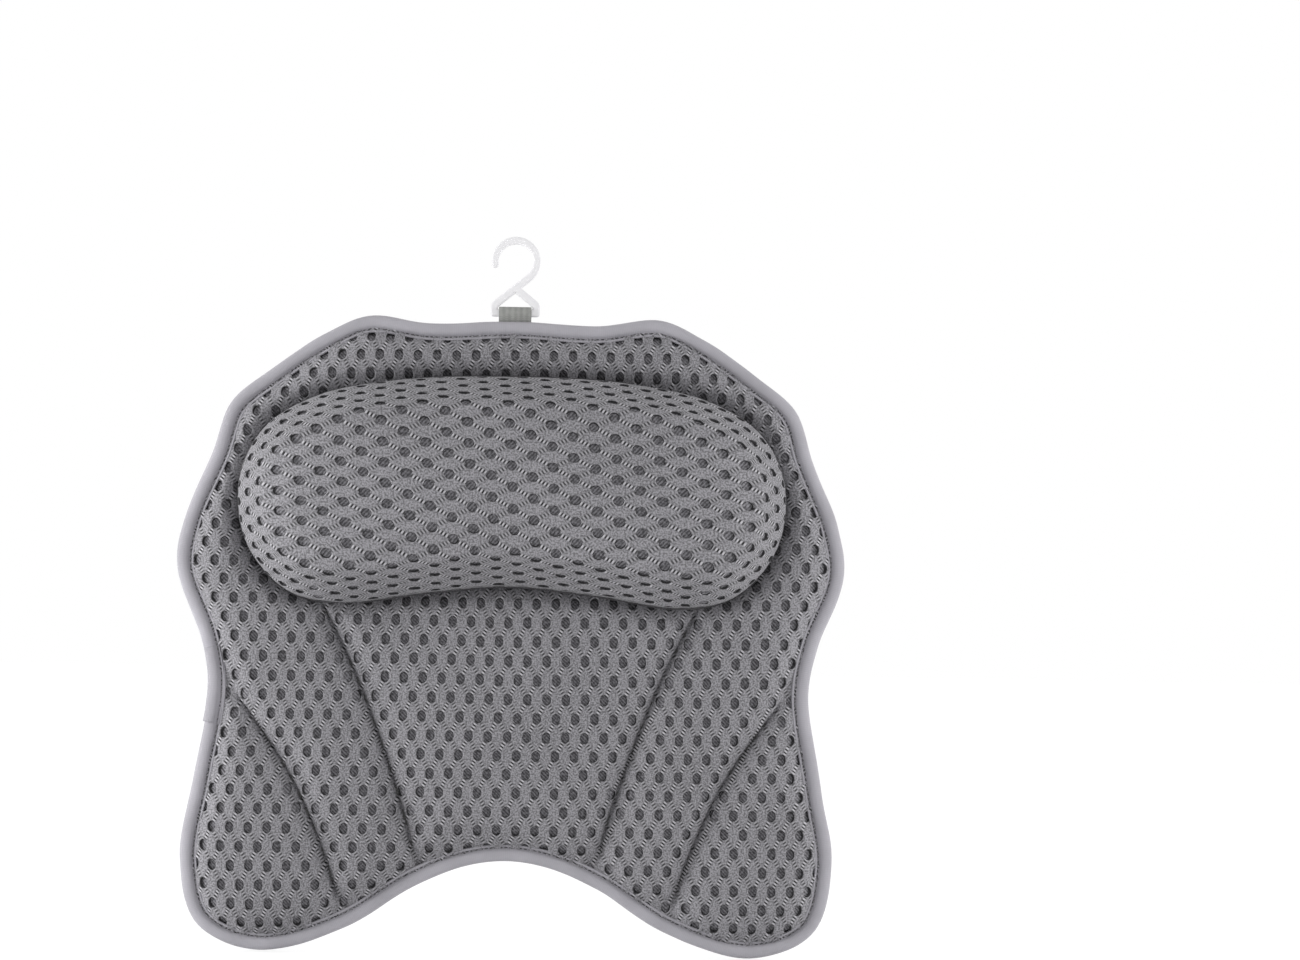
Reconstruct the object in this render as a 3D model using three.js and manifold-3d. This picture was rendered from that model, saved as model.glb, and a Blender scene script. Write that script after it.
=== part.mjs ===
// Bath pillow: a quilted mesh panel with a stuffed headrest, a bound edge, suction cups and a hanging hook.
// Millimetres. Every piece is laid out face up, as on a sewing table: x across the panel, y up it towards
// the hook, and z from the tub wall towards the bather. The last group stands the pillow up: +Z is up and
// +Y points into the wall.
import * as THREE from "three";
import { mergeVertices } from "three/addons/utils/BufferGeometryUtils.js";
import Module from "manifold-3d";

const wasm = await Module();
wasm.setup();

// Clearance between pieces that lie on each other
const SEWN_GAP = 0.3;

// Quilted panel: rear mesh, foam and face mesh, pressed flat along the edge
const PANEL_WIDTH = 411;
const PANEL_HEIGHT = 392;
const REAR_THICKNESS = 2.2;
const FACE_THICKNESS = 2.5;
const FOAM_EDGE = 3;
const FOAM_CROWN = 16;
const EDGE_RAMP = 18;
const SEAM_HALF_WIDTH = 9;
const SEAM_FOAM = 3.6;

// Edge binding: one folded tape round the whole panel
const BINDING_WIDTH = 10.4;
const BINDING_THICKNESS = 1.2;
const BINDING_ROUND = 1.6;

// Headrest: stuffed bean-shaped bolster, sewn on through a piped seam
const HEADREST_LENGTH = 336;
const HEADREST_HEIGHT = 140.5;
const HEADREST_CENTRE = 88.8;
const HEADREST_RISE = 55;
const FLANK_HEIGHT = 50;
const FLANK_WIDTH = 32;
const COVER_THICKNESS = 3;
const PIPING_DIAMETER = 3.2;

// Suction cups, each held by a button head behind a round eyelet patch
const CUP_DIAMETER = 60;
const CUP_DEPTH = 15;
const LIP_WIDTH = 3.5;
const LIP_THICKNESS = 1;
const CUP_WALL = 2.4;
const SHOULDER_DIAMETER = 18;
const SHOULDER_TAPER = 1;
const NECK_DIAMETER = 8;
const BUTTON_DIAMETER = 16;
const BUTTON_HEIGHT = 4;
const PATCH_DIAMETER = 34;
const PATCH_THICKNESS = 1.5;

// Hanging hook and the webbing loop that carries it
const HOOK_RADIUS = 12.9;
const HOOK_ROD = 4.6;
const HOOK_THICKNESS = 4.2;
const HOOK_EDGE = 1;
const HOOK_TIP_ANGLE = 188;
const HOOK_NECK_ANGLE = -51;
const LOOP_WIDTH = 20;
const LOOP_THICKNESS = 1;
const LOOP_REACH = 5.4;
const LOOP_TAIL = 12;
const BAIL_PLAY = 0.6;

// Facets round the panel, round the headrest and its flank, round a turned piece and in half a drawn arc
const PANEL_STEPS = 84;
const HEADREST_STEPS = 60;
const FLANK_STEPS = 5;
const TURN_STEPS = 20;
const BEND_STEPS = 10;

// Facets of the quilting that shows and of the quilting under it: up a ramp, up a channel and along a channel
const FACE_FACETS = { rampSteps: 3, channelSteps: 3, seamSteps: 6 };
const HIDDEN_FACETS = { rampSteps: 2, channelSteps: 1, seamSteps: 6 };

// Heights of the layers above the wall, from the cup's shoulder up
const patchRear = CUP_DEPTH + SEWN_GAP;
const rearBack = patchRear + PATCH_THICKNESS + SEWN_GAP;
const rearFront = rearBack + REAR_THICKNESS;
const foamBack = rearFront + SEWN_GAP;
const faceEdge = foamBack + FOAM_EDGE + SEWN_GAP + FACE_THICKNESS;
const faceCrown = foamBack + FOAM_CROWN + SEWN_GAP + FACE_THICKNESS;
const headrestBase = faceCrown + SEWN_GAP;
const layerInset = BINDING_THICKNESS + SEWN_GAP;

// Half outlines drawn from the top middle round the right-hand side, mirrored and scaled to their real size
const PANEL_HALF = [
  [0, 194], [51, 192], [90.5, 196], [117, 184.5], [148.5, 163], [174, 141.5], [184.5, 111.5],
  [201.5, 69.5], [205.5, 38.5], [190, -4], [185, -34], [193.5, -90], [201, -140], [190, -180],
  [152.5, -196], [100, -182], [57, -155.5], [26, -142.5], [0, -138.7],
];
const HEADREST_HALF = [
  [0, 70], [70, 67], [120, 56.5], [152, 36.5], [167, 4], [162, -35], [137, -63.5],
  [104, -70.5], [50, -63.5], [0, -59],
];

// Cups of the right-hand side, row by row, on the panel's drawn outline and clear of its sewn channels
const CUP_ROWS = ["upper", "middle", "lower"];
const CUP_PLACES = [[82, 104], [131, -6], [95, -110]];

// Sewn channels of the right-hand side, on the panel's drawn outline: the first starts under the headrest,
// the second at the waist, and both run out past the lower edge
const SEAM_LINES = [
  [[119, 25], [97, -19], [82, -55], [68, -95], [58, -130], [52, -170]],
  [[194, -20], [152, -65], [132.5, -92.5], [115, -127.5], [104, -160], [96, -200]],
];

const vector = (x, y, z = 0) => new THREE.Vector3(x, y, z);

// A closed curve through a half outline and its mirror image
function mirroredCurve(half) {
  const right = half.map(([x, y]) => vector(x, y));
  const left = half.slice(1, -1).reverse().map(([x, y]) => vector(-x, y));
  return new THREE.CatmullRomCurve3([...right, ...left], true, "centripetal");
}

// Evenly spaced points of a half outline's curve, with the scale that gives it its real width and height
function scaledOutline(half, width, height, steps) {
  const points = mirroredCurve(half).getSpacedPoints(steps).slice(0, steps);
  const box = new THREE.Box3().setFromPoints(points);
  const size = box.getSize(vector(0, 0));
  const middle = box.getCenter(vector(0, 0));
  const place = (x, y) => vector(((x - middle.x) * width) / size.x, ((y - middle.y) * height) / size.y);
  return { points: points.map((p) => place(p.x, p.y)), place };
}

const panel = scaledOutline(PANEL_HALF, PANEL_WIDTH, PANEL_HEIGHT, PANEL_STEPS);
const headrest = scaledOutline(HEADREST_HALF, HEADREST_LENGTH, HEADREST_HEIGHT, HEADREST_STEPS);

// An outline moved inwards by a distance, square to itself
function inset(points, distance) {
  return points.map((p, i) => {
    const before = points.at(i - 1);
    const after = points[(i + 1) % points.length];
    const along = after.clone().sub(before).normalize();
    return vector(p.x + along.y * distance, p.y - along.x * distance);
  });
}

// An outline drawn in towards the panel's middle by a distance measured square to its edge
function drawnIn(points, distance) {
  return points.map((p, i) => {
    const before = points.at(i - 1);
    const after = points[(i + 1) % points.length];
    const along = after.clone().sub(before).normalize();
    const spoke = p.clone().negate().normalize();
    const square = spoke.x * along.y - spoke.y * along.x;
    return p.clone().addScaledVector(spoke, distance / square);
  });
}

const shrunk = (points, share) => points.map((p) => p.clone().multiplyScalar(share));
const atHeight = (points, z) => points.map((p) => vector(p.x, p.y, z));

// A closed skin through a stack of rings: a ring of one point is a pole, and a closed stack has no ends
function loft(rings, closed = false) {
  const starts = rings.map((_, k) => rings.slice(0, k).flat().length);
  const faces = [];
  const spans = closed ? rings.length : rings.length - 1;
  for (let k = 0; k < spans; k++) {
    const next = (k + 1) % rings.length;
    const steps = Math.max(rings[k].length, rings[next].length);
    const lower = (i) => starts[k] + (rings[k].length > 1 ? i % steps : 0);
    const upper = (i) => starts[next] + (rings[next].length > 1 ? i % steps : 0);
    for (let i = 0; i < steps; i++) {
      if (rings[k].length > 1) faces.push(lower(i), upper(i + 1), lower(i + 1));
      if (rings[next].length > 1) faces.push(lower(i), upper(i), upper(i + 1));
    }
  }
  const geometry = new THREE.BufferGeometry().setFromPoints(rings.flat());
  geometry.setIndex(faces);
  return geometry;
}

// Geometry to a solid and back, for cuts and joins
function solid(geometry) {
  const bare = geometry.clone();
  bare.deleteAttribute("normal");
  bare.deleteAttribute("uv");
  const merged = mergeVertices(bare, 1e-4);
  const triVerts = new Uint32Array(merged.index.array);
  return new wasm.Manifold(
    new wasm.Mesh({ numProp: 3, vertProperties: merged.attributes.position.array, triVerts }),
  );
}

function geometryOf(made) {
  const mesh = made.getMesh();
  const geometry = new THREE.BufferGeometry();
  geometry.setAttribute("position", new THREE.BufferAttribute(mesh.vertProperties, 3));
  geometry.setIndex(new THREE.BufferAttribute(mesh.triVerts, 1));
  return geometry;
}

const placed = (geometry, x, y, z) => solid(geometry.clone().translate(x, y, z));

// Quarter-round steps from the foot of a swelling to its crown: share of the run and share of the rise
function swell(steps) {
  return Array.from({ length: steps }, (_, k) => {
    const turn = ((k + 1) * Math.PI) / (2 * steps);
    return { run: 1 - Math.cos(turn), rise: Math.sin(turn) };
  });
}

// The empty space over a sewn channel: a section that closes to a line at the seam, carried along the seam
function channelSpace(line, side, form) {
  const { seamHalfWidth: halfWidth, seamHeight, crownHeight, seamLead, channelSteps, seamSteps } = form;
  const stitches = line.map(([x, y]) => panel.place(side * x, y));
  const path = new THREE.CatmullRomCurve3(stitches, false, "centripetal");
  const rise = crownHeight - seamHeight + SEWN_GAP;
  const flank = swell(channelSteps).map((step) => [halfWidth * step.run, seamHeight + rise * step.rise]);
  const top = [halfWidth, crownHeight + FOAM_CROWN];
  const right = [...flank, top];
  const left = right.map(([offset, z]) => [-offset, z]).reverse();
  const section = [[0, seamHeight], ...right, ...left];
  const rings = [];
  const start = seamLead / path.getLength();
  for (let k = 0; k <= seamSteps; k++) {
    const share = THREE.MathUtils.lerp(start, 1, k / seamSteps);
    const at = path.getPointAt(share);
    const along = path.getTangentAt(share);
    rings.push(section.map(([offset, z]) => vector(at.x + along.y * offset, at.y - along.x * offset, z)));
  }
  const middle = (ring) => [ring.reduce((sum, p) => sum.add(p), vector(0, 0)).divideScalar(ring.length)];
  return solid(loft([middle(rings[0]), ...rings, middle(rings.at(-1))]));
}

// A quilted pad with a flat back: flat edge, swelling ramp, crown, and the four sewn channels cut into it
function quiltedPad(form) {
  const { edgeInset, flatTo, back, edgeHeight, crownHeight, rampSteps } = form;
  const edge = inset(panel.points, edgeInset);
  const foot = inset(panel.points, flatTo);
  const ramp = swell(rampSteps).map(({ run, rise }) =>
    atHeight(drawnIn(foot, EDGE_RAMP * run), edgeHeight + (crownHeight - edgeHeight) * rise),
  );
  const body = loft([
    [vector(0, 0, back)],
    atHeight(edge, back),
    atHeight(edge, edgeHeight),
    atHeight(foot, edgeHeight),
    ...ramp,
    [vector(0, 0, crownHeight)],
  ]);
  const channels = SEAM_LINES.flatMap((line) => [-1, 1].map((side) => channelSpace(line, side, form)));
  return solid(body).subtract(channels.reduce((all, channel) => all.add(channel)));
}

// Where the loop's bar runs, above the top of the bound edge and in the middle of the foam's edge
const topEdge = panel.points[0].y;
const barHeight = topEdge + LOOP_REACH;
const barDepth = foamBack + FOAM_EDGE / 2;

// Room for the loop's sewn-in tail, of a given thickness, from the bar down into the edge
function tailRoom(thickness) {
  const depth = LOOP_REACH + LOOP_TAIL;
  const room = new THREE.BoxGeometry(LOOP_WIDTH + 2 * SEWN_GAP, depth, thickness);
  return placed(room, 0, barHeight - depth / 2, barDepth);
}

const tailSlot = tailRoom(2 * LOOP_THICKNESS + 2 * SEWN_GAP);

const cups = CUP_PLACES.flatMap(([x, y], row) => [
  { name: `${CUP_ROWS[row]}_left`, ...panel.place(-x, y) },
  { name: `${CUP_ROWS[row]}_right`, ...panel.place(x, y) },
]);

// Foam: hollowed behind for each cup's button head and notched for the loop's tail
function padFoam() {
  const pocket = BUTTON_DIAMETER / 2 + 2 * SEWN_GAP;
  const reach = BUTTON_HEIGHT + 2 * SEWN_GAP;
  const head = new THREE.CylinderGeometry(pocket, pocket, 2 * reach, TURN_STEPS).rotateX(Math.PI / 2);
  let foam = quiltedPad({
    edgeInset: layerInset,
    flatTo: BINDING_WIDTH + FACE_THICKNESS,
    back: foamBack,
    edgeHeight: foamBack + FOAM_EDGE,
    crownHeight: foamBack + FOAM_CROWN,
    seamHeight: foamBack + SEAM_FOAM,
    seamHalfWidth: SEAM_HALF_WIDTH + FACE_THICKNESS,
    seamLead: 0,
    ...HIDDEN_FACETS,
  }).subtract(tailRoom(2 * FOAM_EDGE));
  for (const cup of cups) foam = foam.subtract(placed(head, cup.x, cup.y, foamBack));
  return geometryOf(foam);
}

// Face mesh: the skin between the swell of the foam and the quilted surface that shows
function faceMesh() {
  const outside = quiltedPad({
    edgeInset: layerInset,
    flatTo: BINDING_WIDTH + SEWN_GAP,
    back: foamBack,
    edgeHeight: faceEdge,
    crownHeight: faceCrown,
    seamHeight: faceEdge + SEAM_FOAM - FOAM_EDGE,
    seamHalfWidth: SEAM_HALF_WIDTH,
    seamLead: FACE_THICKNESS,
    ...FACE_FACETS,
  });
  const inside = quiltedPad({
    edgeInset: 0,
    flatTo: BINDING_WIDTH + FACE_THICKNESS,
    back: foamBack - FOAM_EDGE,
    edgeHeight: faceEdge - FACE_THICKNESS,
    crownHeight: faceCrown - FACE_THICKNESS,
    seamHeight: foamBack + SEAM_FOAM + SEWN_GAP,
    seamHalfWidth: SEAM_HALF_WIDTH + FACE_THICKNESS,
    seamLead: 0,
    ...HIDDEN_FACETS,
  });
  return geometryOf(outside.subtract(inside).subtract(tailSlot));
}

function roundHole(x, y, radius) {
  const turns = Array.from({ length: TURN_STEPS }, (_, k) => (-2 * Math.PI * k) / TURN_STEPS);
  const rim = turns.map((turn) => vector(x + radius * Math.cos(turn), y + radius * Math.sin(turn)));
  return new THREE.Path(rim);
}

// Rear mesh: a flat sheet with an eyelet for each cup's neck
function rearMesh() {
  const eyelet = NECK_DIAMETER / 2 + SEWN_GAP;
  const sheet = new THREE.Shape(inset(panel.points, layerInset).reverse());
  sheet.holes = cups.map(({ x, y }) => roundHole(x, y, eyelet));
  const options = { depth: REAR_THICKNESS, bevelEnabled: false, curveSegments: BEND_STEPS };
  const rear = new THREE.ExtrudeGeometry(sheet, options).translate(0, 0, rearBack);
  return geometryOf(solid(rear).subtract(tailSlot));
}

// Edge binding: a tape folded over the three layers, carried round the outline, slotted for the loop
function edgeBinding() {
  const front = faceEdge + SEWN_GAP;
  const rear = rearBack - SEWN_GAP;
  const outFront = front + BINDING_THICKNESS;
  const outRear = rear - BINDING_THICKNESS;
  const section = [
    [BINDING_WIDTH, front], [BINDING_WIDTH, outFront], [BINDING_ROUND, outFront],
    [0, outFront - BINDING_ROUND], [0, outRear + BINDING_ROUND],
    [BINDING_ROUND, outRear], [BINDING_WIDTH, outRear], [BINDING_WIDTH, rear],
    [BINDING_THICKNESS, rear], [BINDING_THICKNESS, front],
  ];
  const rings = section.map(([distance, z]) => atHeight(inset(panel.points, distance), z)).reverse();
  return geometryOf(solid(loft(rings, true)).subtract(tailSlot));
}

// Rings of the headrest's dome, from its foot to its crown, for a skin that lies a given depth inside it
function domeRings(depth) {
  const foot = inset(headrest.points, PIPING_DIAMETER + SEWN_GAP + depth);
  const flankTop = headrestBase + FLANK_HEIGHT - depth;
  const crown = headrestBase + HEADREST_RISE - depth;
  const flank = swell(FLANK_STEPS).map(({ run, rise }) =>
    atHeight(inset(foot, (FLANK_WIDTH - depth) * run), headrestBase + (flankTop - headrestBase) * rise),
  );
  const shoulder = flank.at(-1);
  const middle = atHeight(shrunk(shoulder, 0.5), (flankTop + 3 * crown) / 4);
  return [atHeight(foot, headrestBase), ...flank, middle, [vector(0, 0, crown)]];
}

// Headrest cover: a mesh dome, open below where it is sewn down
function headrestCover() {
  const outer = domeRings(0);
  const inner = domeRings(COVER_THICKNESS);
  return loft([...inner.reverse(), ...outer]).translate(0, HEADREST_CENTRE, 0);
}

// Headrest core: the stuffing that fills the dome
function headrestCore() {
  const foot = [vector(0, 0, headrestBase)];
  return loft([foot, ...domeRings(COVER_THICKNESS + SEWN_GAP)]).translate(0, HEADREST_CENTRE, 0);
}

// Piping: a round cord sewn into the seam at the foot of the dome
function headrestPiping() {
  const radius = PIPING_DIAMETER / 2;
  const rings = [5, 4, 3, 2, 1, 0].map((side) => {
    const turn = (side * Math.PI) / 3 + Math.PI / 6;
    const ring = inset(headrest.points, radius + radius * Math.cos(turn));
    return atHeight(ring, headrestBase + radius + radius * Math.sin(turn));
  });
  return loft(rings, true).translate(0, HEADREST_CENTRE, 0);
}

// Turned pieces: a profile of radius and height, spun about z
function turned(profile) {
  const points = profile.map(([radius, height]) => new THREE.Vector2(radius, height));
  return new THREE.LatheGeometry(points, TURN_STEPS).rotateX(Math.PI / 2);
}

// Suction cup: dished bell with a flat lip, a neck through the eyelet and a button head behind it
function suctionCup() {
  const lip = CUP_DIAMETER / 2;
  const shoulder = SHOULDER_DIAMETER / 2;
  const neck = NECK_DIAMETER / 2;
  const button = BUTTON_DIAMETER / 2;
  const bell = CUP_DEPTH - CUP_WALL;
  const seat = rearFront + SEWN_GAP;
  return turned([
    [0, bell - CUP_WALL],
    [shoulder, bell - CUP_WALL - SHOULDER_TAPER],
    [(lip + shoulder) / 2, (bell - CUP_WALL) / 2],
    [lip - LIP_WIDTH, 0],
    [lip, 0],
    [lip, LIP_THICKNESS],
    [(lip + shoulder + CUP_WALL) / 2, (bell + CUP_WALL) / 2],
    [shoulder, bell],
    [shoulder - SHOULDER_TAPER, CUP_DEPTH],
    [neck, CUP_DEPTH],
    [neck, seat],
    [button, seat],
    [button, seat + BUTTON_HEIGHT / 2],
    [neck, seat + BUTTON_HEIGHT],
    [0, seat + BUTTON_HEIGHT],
  ]);
}

// Eyelet patch: a round reinforcing disc behind the panel, pierced for the cup's neck
function eyeletPatch() {
  const rim = PATCH_DIAMETER / 2;
  const eyelet = NECK_DIAMETER / 2 + SEWN_GAP;
  const top = patchRear + PATCH_THICKNESS;
  return turned([[eyelet, patchRear], [rim, patchRear], [rim, top], [eyelet, top], [eyelet, patchRear]]);
}

// Hanging loop: webbing folded round the hook's bar, its two plies running down into the bound edge
const eyeRadius = Math.hypot(HOOK_ROD / 2, HOOK_THICKNESS / 2 - HOOK_EDGE) + SEWN_GAP;
const eyeOutside = eyeRadius + LOOP_THICKNESS;

function hangingLoop() {
  const tailEnd = SEWN_GAP - LOOP_REACH - LOOP_TAIL;
  const meet = Math.asin(LOOP_THICKNESS / eyeOutside);
  const strip = new THREE.Shape();
  strip.moveTo(LOOP_THICKNESS, tailEnd);
  strip.absarc(0, 0, eyeOutside, meet - Math.PI / 2, 1.5 * Math.PI - meet, false);
  strip.lineTo(-LOOP_THICKNESS, tailEnd);
  strip.holes = [roundHole(0, 0, eyeRadius)];
  const options = { depth: LOOP_WIDTH, bevelEnabled: false, curveSegments: BEND_STEPS };
  return new THREE.ExtrudeGeometry(strip, options)
    .translate(0, 0, -LOOP_WIDTH / 2)
    .rotateY(Math.PI / 2);
}

// A closed polygon moved outwards by a distance, corner by corner
function offsetPolygon(corners, distance) {
  return corners.map((corner, i) => {
    const into = corner.clone().sub(corners.at(i - 1)).normalize();
    const out = corners[(i + 1) % corners.length].clone().sub(corner).normalize();
    const outward = new THREE.Vector2(into.y + out.y, -into.x - out.x);
    return corner.clone().addScaledVector(outward, distance / (1 + into.dot(out)));
  });
}

// A polygon's shape with each corner rounded off over a given length
function rounded(corners, length) {
  const path = new THREE.Shape();
  corners.forEach((corner, i) => {
    const towards = (other) => corner.clone().add(other.clone().sub(corner).setLength(length));
    const start = towards(corners.at(i - 1));
    const end = towards(corners[(i + 1) % corners.length]);
    if (i) path.lineTo(start.x, start.y);
    else path.moveTo(start.x, start.y);
    path.quadraticCurveTo(corner.x, corner.y, end.x, end.y);
  });
  path.closePath();
  return path;
}

// A shape without the near-repeated points that arcs leave where they meet
function cleaned(path) {
  const points = path.getPoints(BEND_STEPS);
  return new THREE.Shape(points.filter((p, i) => p.distanceTo(points.at(i - 1)) > 1e-3));
}

// Hanging hook: a moulded crook whose neck runs straight into a five-sided bail with the loop's bar below.
// The bail's arms clear the loop's eye, and the crook stands where its neck meets the left-hand arm.
function hangingHook() {
  const half = HOOK_ROD / 2;
  const neck = THREE.MathUtils.degToRad(HOOK_NECK_ANGLE);
  const tip = THREE.MathUtils.degToRad(HOOK_TIP_ANGLE);
  const across = new THREE.Vector2(Math.cos(neck), Math.sin(neck)).multiplyScalar(half);
  const slope = -across.x / across.y;
  const side = LOOP_WIDTH / 2 + BAIL_PLAY + half;
  const armClear = eyeOutside + SEWN_GAP + half * Math.hypot(1, slope);
  const shoulder = armClear - (side - LOOP_WIDTH / 2) * slope;
  const apex = shoulder + side * slope;
  const rise = apex + HOOK_RADIUS * (Math.cos(neck) * slope - Math.sin(neck));

  const crook = new THREE.Shape();
  crook.absarc(0, rise, HOOK_RADIUS + half, tip, neck, true);
  crook.lineTo(across.x - side, shoulder + across.y);
  crook.lineTo(-across.x - side, shoulder - across.y);
  crook.absarc(0, rise, HOOK_RADIUS - half, neck, tip, false);
  const tipHeight = rise + HOOK_RADIUS * Math.sin(tip);
  crook.absarc(HOOK_RADIUS * Math.cos(tip), tipHeight, half, tip + Math.PI, tip, true);

  const middle = [[-side, 0], [side, 0], [side, shoulder], [0, apex], [-side, shoulder]].map(
    ([x, y]) => new THREE.Vector2(x, y),
  );
  const bail = rounded(offsetPolygon(middle, half), half);
  bail.holes = [new THREE.Path(offsetPolygon(middle, -half))];

  const options = {
    depth: HOOK_THICKNESS - 2 * HOOK_EDGE, bevelThickness: HOOK_EDGE, bevelSize: HOOK_EDGE,
    bevelOffset: -HOOK_EDGE, bevelSegments: 2, curveSegments: BEND_STEPS,
  };
  const [moulded, frame] = [cleaned(crook), bail].map((shape) =>
    solid(new THREE.ExtrudeGeometry(shape, options).translate(0, 0, HOOK_EDGE - HOOK_THICKNESS / 2)),
  );
  return geometryOf(moulded.add(frame));
}

// Materials
const finish = (color, roughness) => new THREE.MeshStandardMaterial({ color, roughness, metalness: 0 });
const meshCloth = finish(0x808082, 0.9);
const foamBlock = finish(0x4d4c50, 0.95);
const tape = finish(0xa09ea5, 0.75);
const webbing = finish(0x8d8e8a, 0.85);
const clearVinyl = finish(0xdfe6e8, 0.15);
const patchCloth = finish(0x77777a, 0.9);
const whitePlastic = finish(0xf4f4f6, 0.35);

// Assembly
const pillow = new THREE.Group();
pillow.rotation.x = Math.PI / 2;

function add(name, geometry, material, parent = pillow) {
  const mesh = new THREE.Mesh(geometry, material);
  mesh.name = name;
  parent.add(mesh);
}

add("rear_mesh", rearMesh(), meshCloth);
add("pad_foam", padFoam(), foamBlock);
add("face_mesh", faceMesh(), meshCloth);
add("edge_binding", edgeBinding(), tape);
add("headrest_core", headrestCore(), foamBlock);
add("headrest_cover", headrestCover(), meshCloth);
add("headrest_piping", headrestPiping(), meshCloth);

for (const { name, x, y } of cups) {
  const station = new THREE.Group();
  station.position.set(x, y, 0);
  add(`suction_cup_${name}`, suctionCup(), clearVinyl, station);
  add(`eyelet_patch_${name}`, eyeletPatch(), patchCloth, station);
  pillow.add(station);
}

const hanger = new THREE.Group();
hanger.position.set(0, barHeight, barDepth);
add("hanging_loop", hangingLoop(), webbing, hanger);
add("hanging_hook", hangingHook(), whitePlastic, hanger);
pillow.add(hanger);

const part = new THREE.Group();
part.add(pillow);

export default part;
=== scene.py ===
# %% [markdown]
# # A bath pillow, dressed in Blender
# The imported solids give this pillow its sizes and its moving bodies. This lesson sews the looks round them:
# open mesh cloth, stuffing that swells, a bound edge, threads, webbing and clear suction cups. Everything
# is in metres in the solids' own frame: X across the pillow, Z up, and -Y towards the bather.

# %% Load the fixed frame
import math

import bmesh
import bpy
import numpy as np
from mathutils import Matrix, Vector, noise
from mathutils.bvhtree import BVHTree


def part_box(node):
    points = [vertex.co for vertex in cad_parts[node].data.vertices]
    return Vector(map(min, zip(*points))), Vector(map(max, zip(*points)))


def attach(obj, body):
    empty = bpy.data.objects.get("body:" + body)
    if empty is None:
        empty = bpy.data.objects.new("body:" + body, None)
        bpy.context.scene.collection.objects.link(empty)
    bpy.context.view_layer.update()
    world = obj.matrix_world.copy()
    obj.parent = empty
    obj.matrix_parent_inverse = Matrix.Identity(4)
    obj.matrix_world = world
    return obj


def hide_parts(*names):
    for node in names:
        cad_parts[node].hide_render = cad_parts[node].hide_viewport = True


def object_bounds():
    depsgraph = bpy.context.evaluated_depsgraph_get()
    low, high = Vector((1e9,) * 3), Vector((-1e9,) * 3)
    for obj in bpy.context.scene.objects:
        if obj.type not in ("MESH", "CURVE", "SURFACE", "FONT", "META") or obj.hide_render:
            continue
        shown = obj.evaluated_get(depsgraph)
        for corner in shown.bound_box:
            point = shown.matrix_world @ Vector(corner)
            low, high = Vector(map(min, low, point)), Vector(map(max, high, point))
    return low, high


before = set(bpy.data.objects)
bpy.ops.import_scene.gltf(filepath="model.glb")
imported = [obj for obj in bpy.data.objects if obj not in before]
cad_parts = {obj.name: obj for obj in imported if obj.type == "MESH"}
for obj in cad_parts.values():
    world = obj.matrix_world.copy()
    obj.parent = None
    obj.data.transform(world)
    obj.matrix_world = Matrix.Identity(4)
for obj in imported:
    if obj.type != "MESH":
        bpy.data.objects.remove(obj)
cad_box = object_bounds()
scene = bpy.context.scene
print("frame:", len(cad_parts), "nodes, from", tuple(cad_box[0]), "to", tuple(cad_box[1]))

# %% [markdown]
# ## Camera
# The pillow is seen square from the front, a little turned in the picture plane, and it stands left of and
# below the middle of the frame. A camera shift gives that framing without turning the camera off the
# pillow's axis, so its sides keep their true shape.

# %% Camera
VIEW_DISTANCE = 1.6
VIEW_WIDTH = 0.797
PANEL_PLANE = -0.03
AIM_HEIGHT = 0.025
SENSOR_WIDTH = 36
SHIFT_RIGHT = 0.1075
SHIFT_UP = 0.0888
ROLL = math.radians(-1)

camera_data = bpy.data.cameras.new("front_camera")
camera_data.sensor_width = SENSOR_WIDTH
camera_data.lens = SENSOR_WIDTH * VIEW_DISTANCE / VIEW_WIDTH
camera_data.shift_x = SHIFT_RIGHT
camera_data.shift_y = SHIFT_UP
camera = bpy.data.objects.new("front_camera", camera_data)
camera.location = (0, PANEL_PLANE - VIEW_DISTANCE, AIM_HEIGHT)
camera.rotation_euler = (math.radians(90), ROLL, 0)
scene.collection.objects.link(camera)
scene.camera = camera
scene.view_settings.view_transform = "Standard"
print("lens", round(camera_data.lens, 1), "mm")

# %% [markdown]
# ## Writing materials as sums
# A procedural finish is mostly arithmetic on coordinates. Wiring each Math node by hand hides that, so one
# small class wraps a node socket: Python's own operators add the Math nodes, and one method makes any other
# node.


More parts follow.
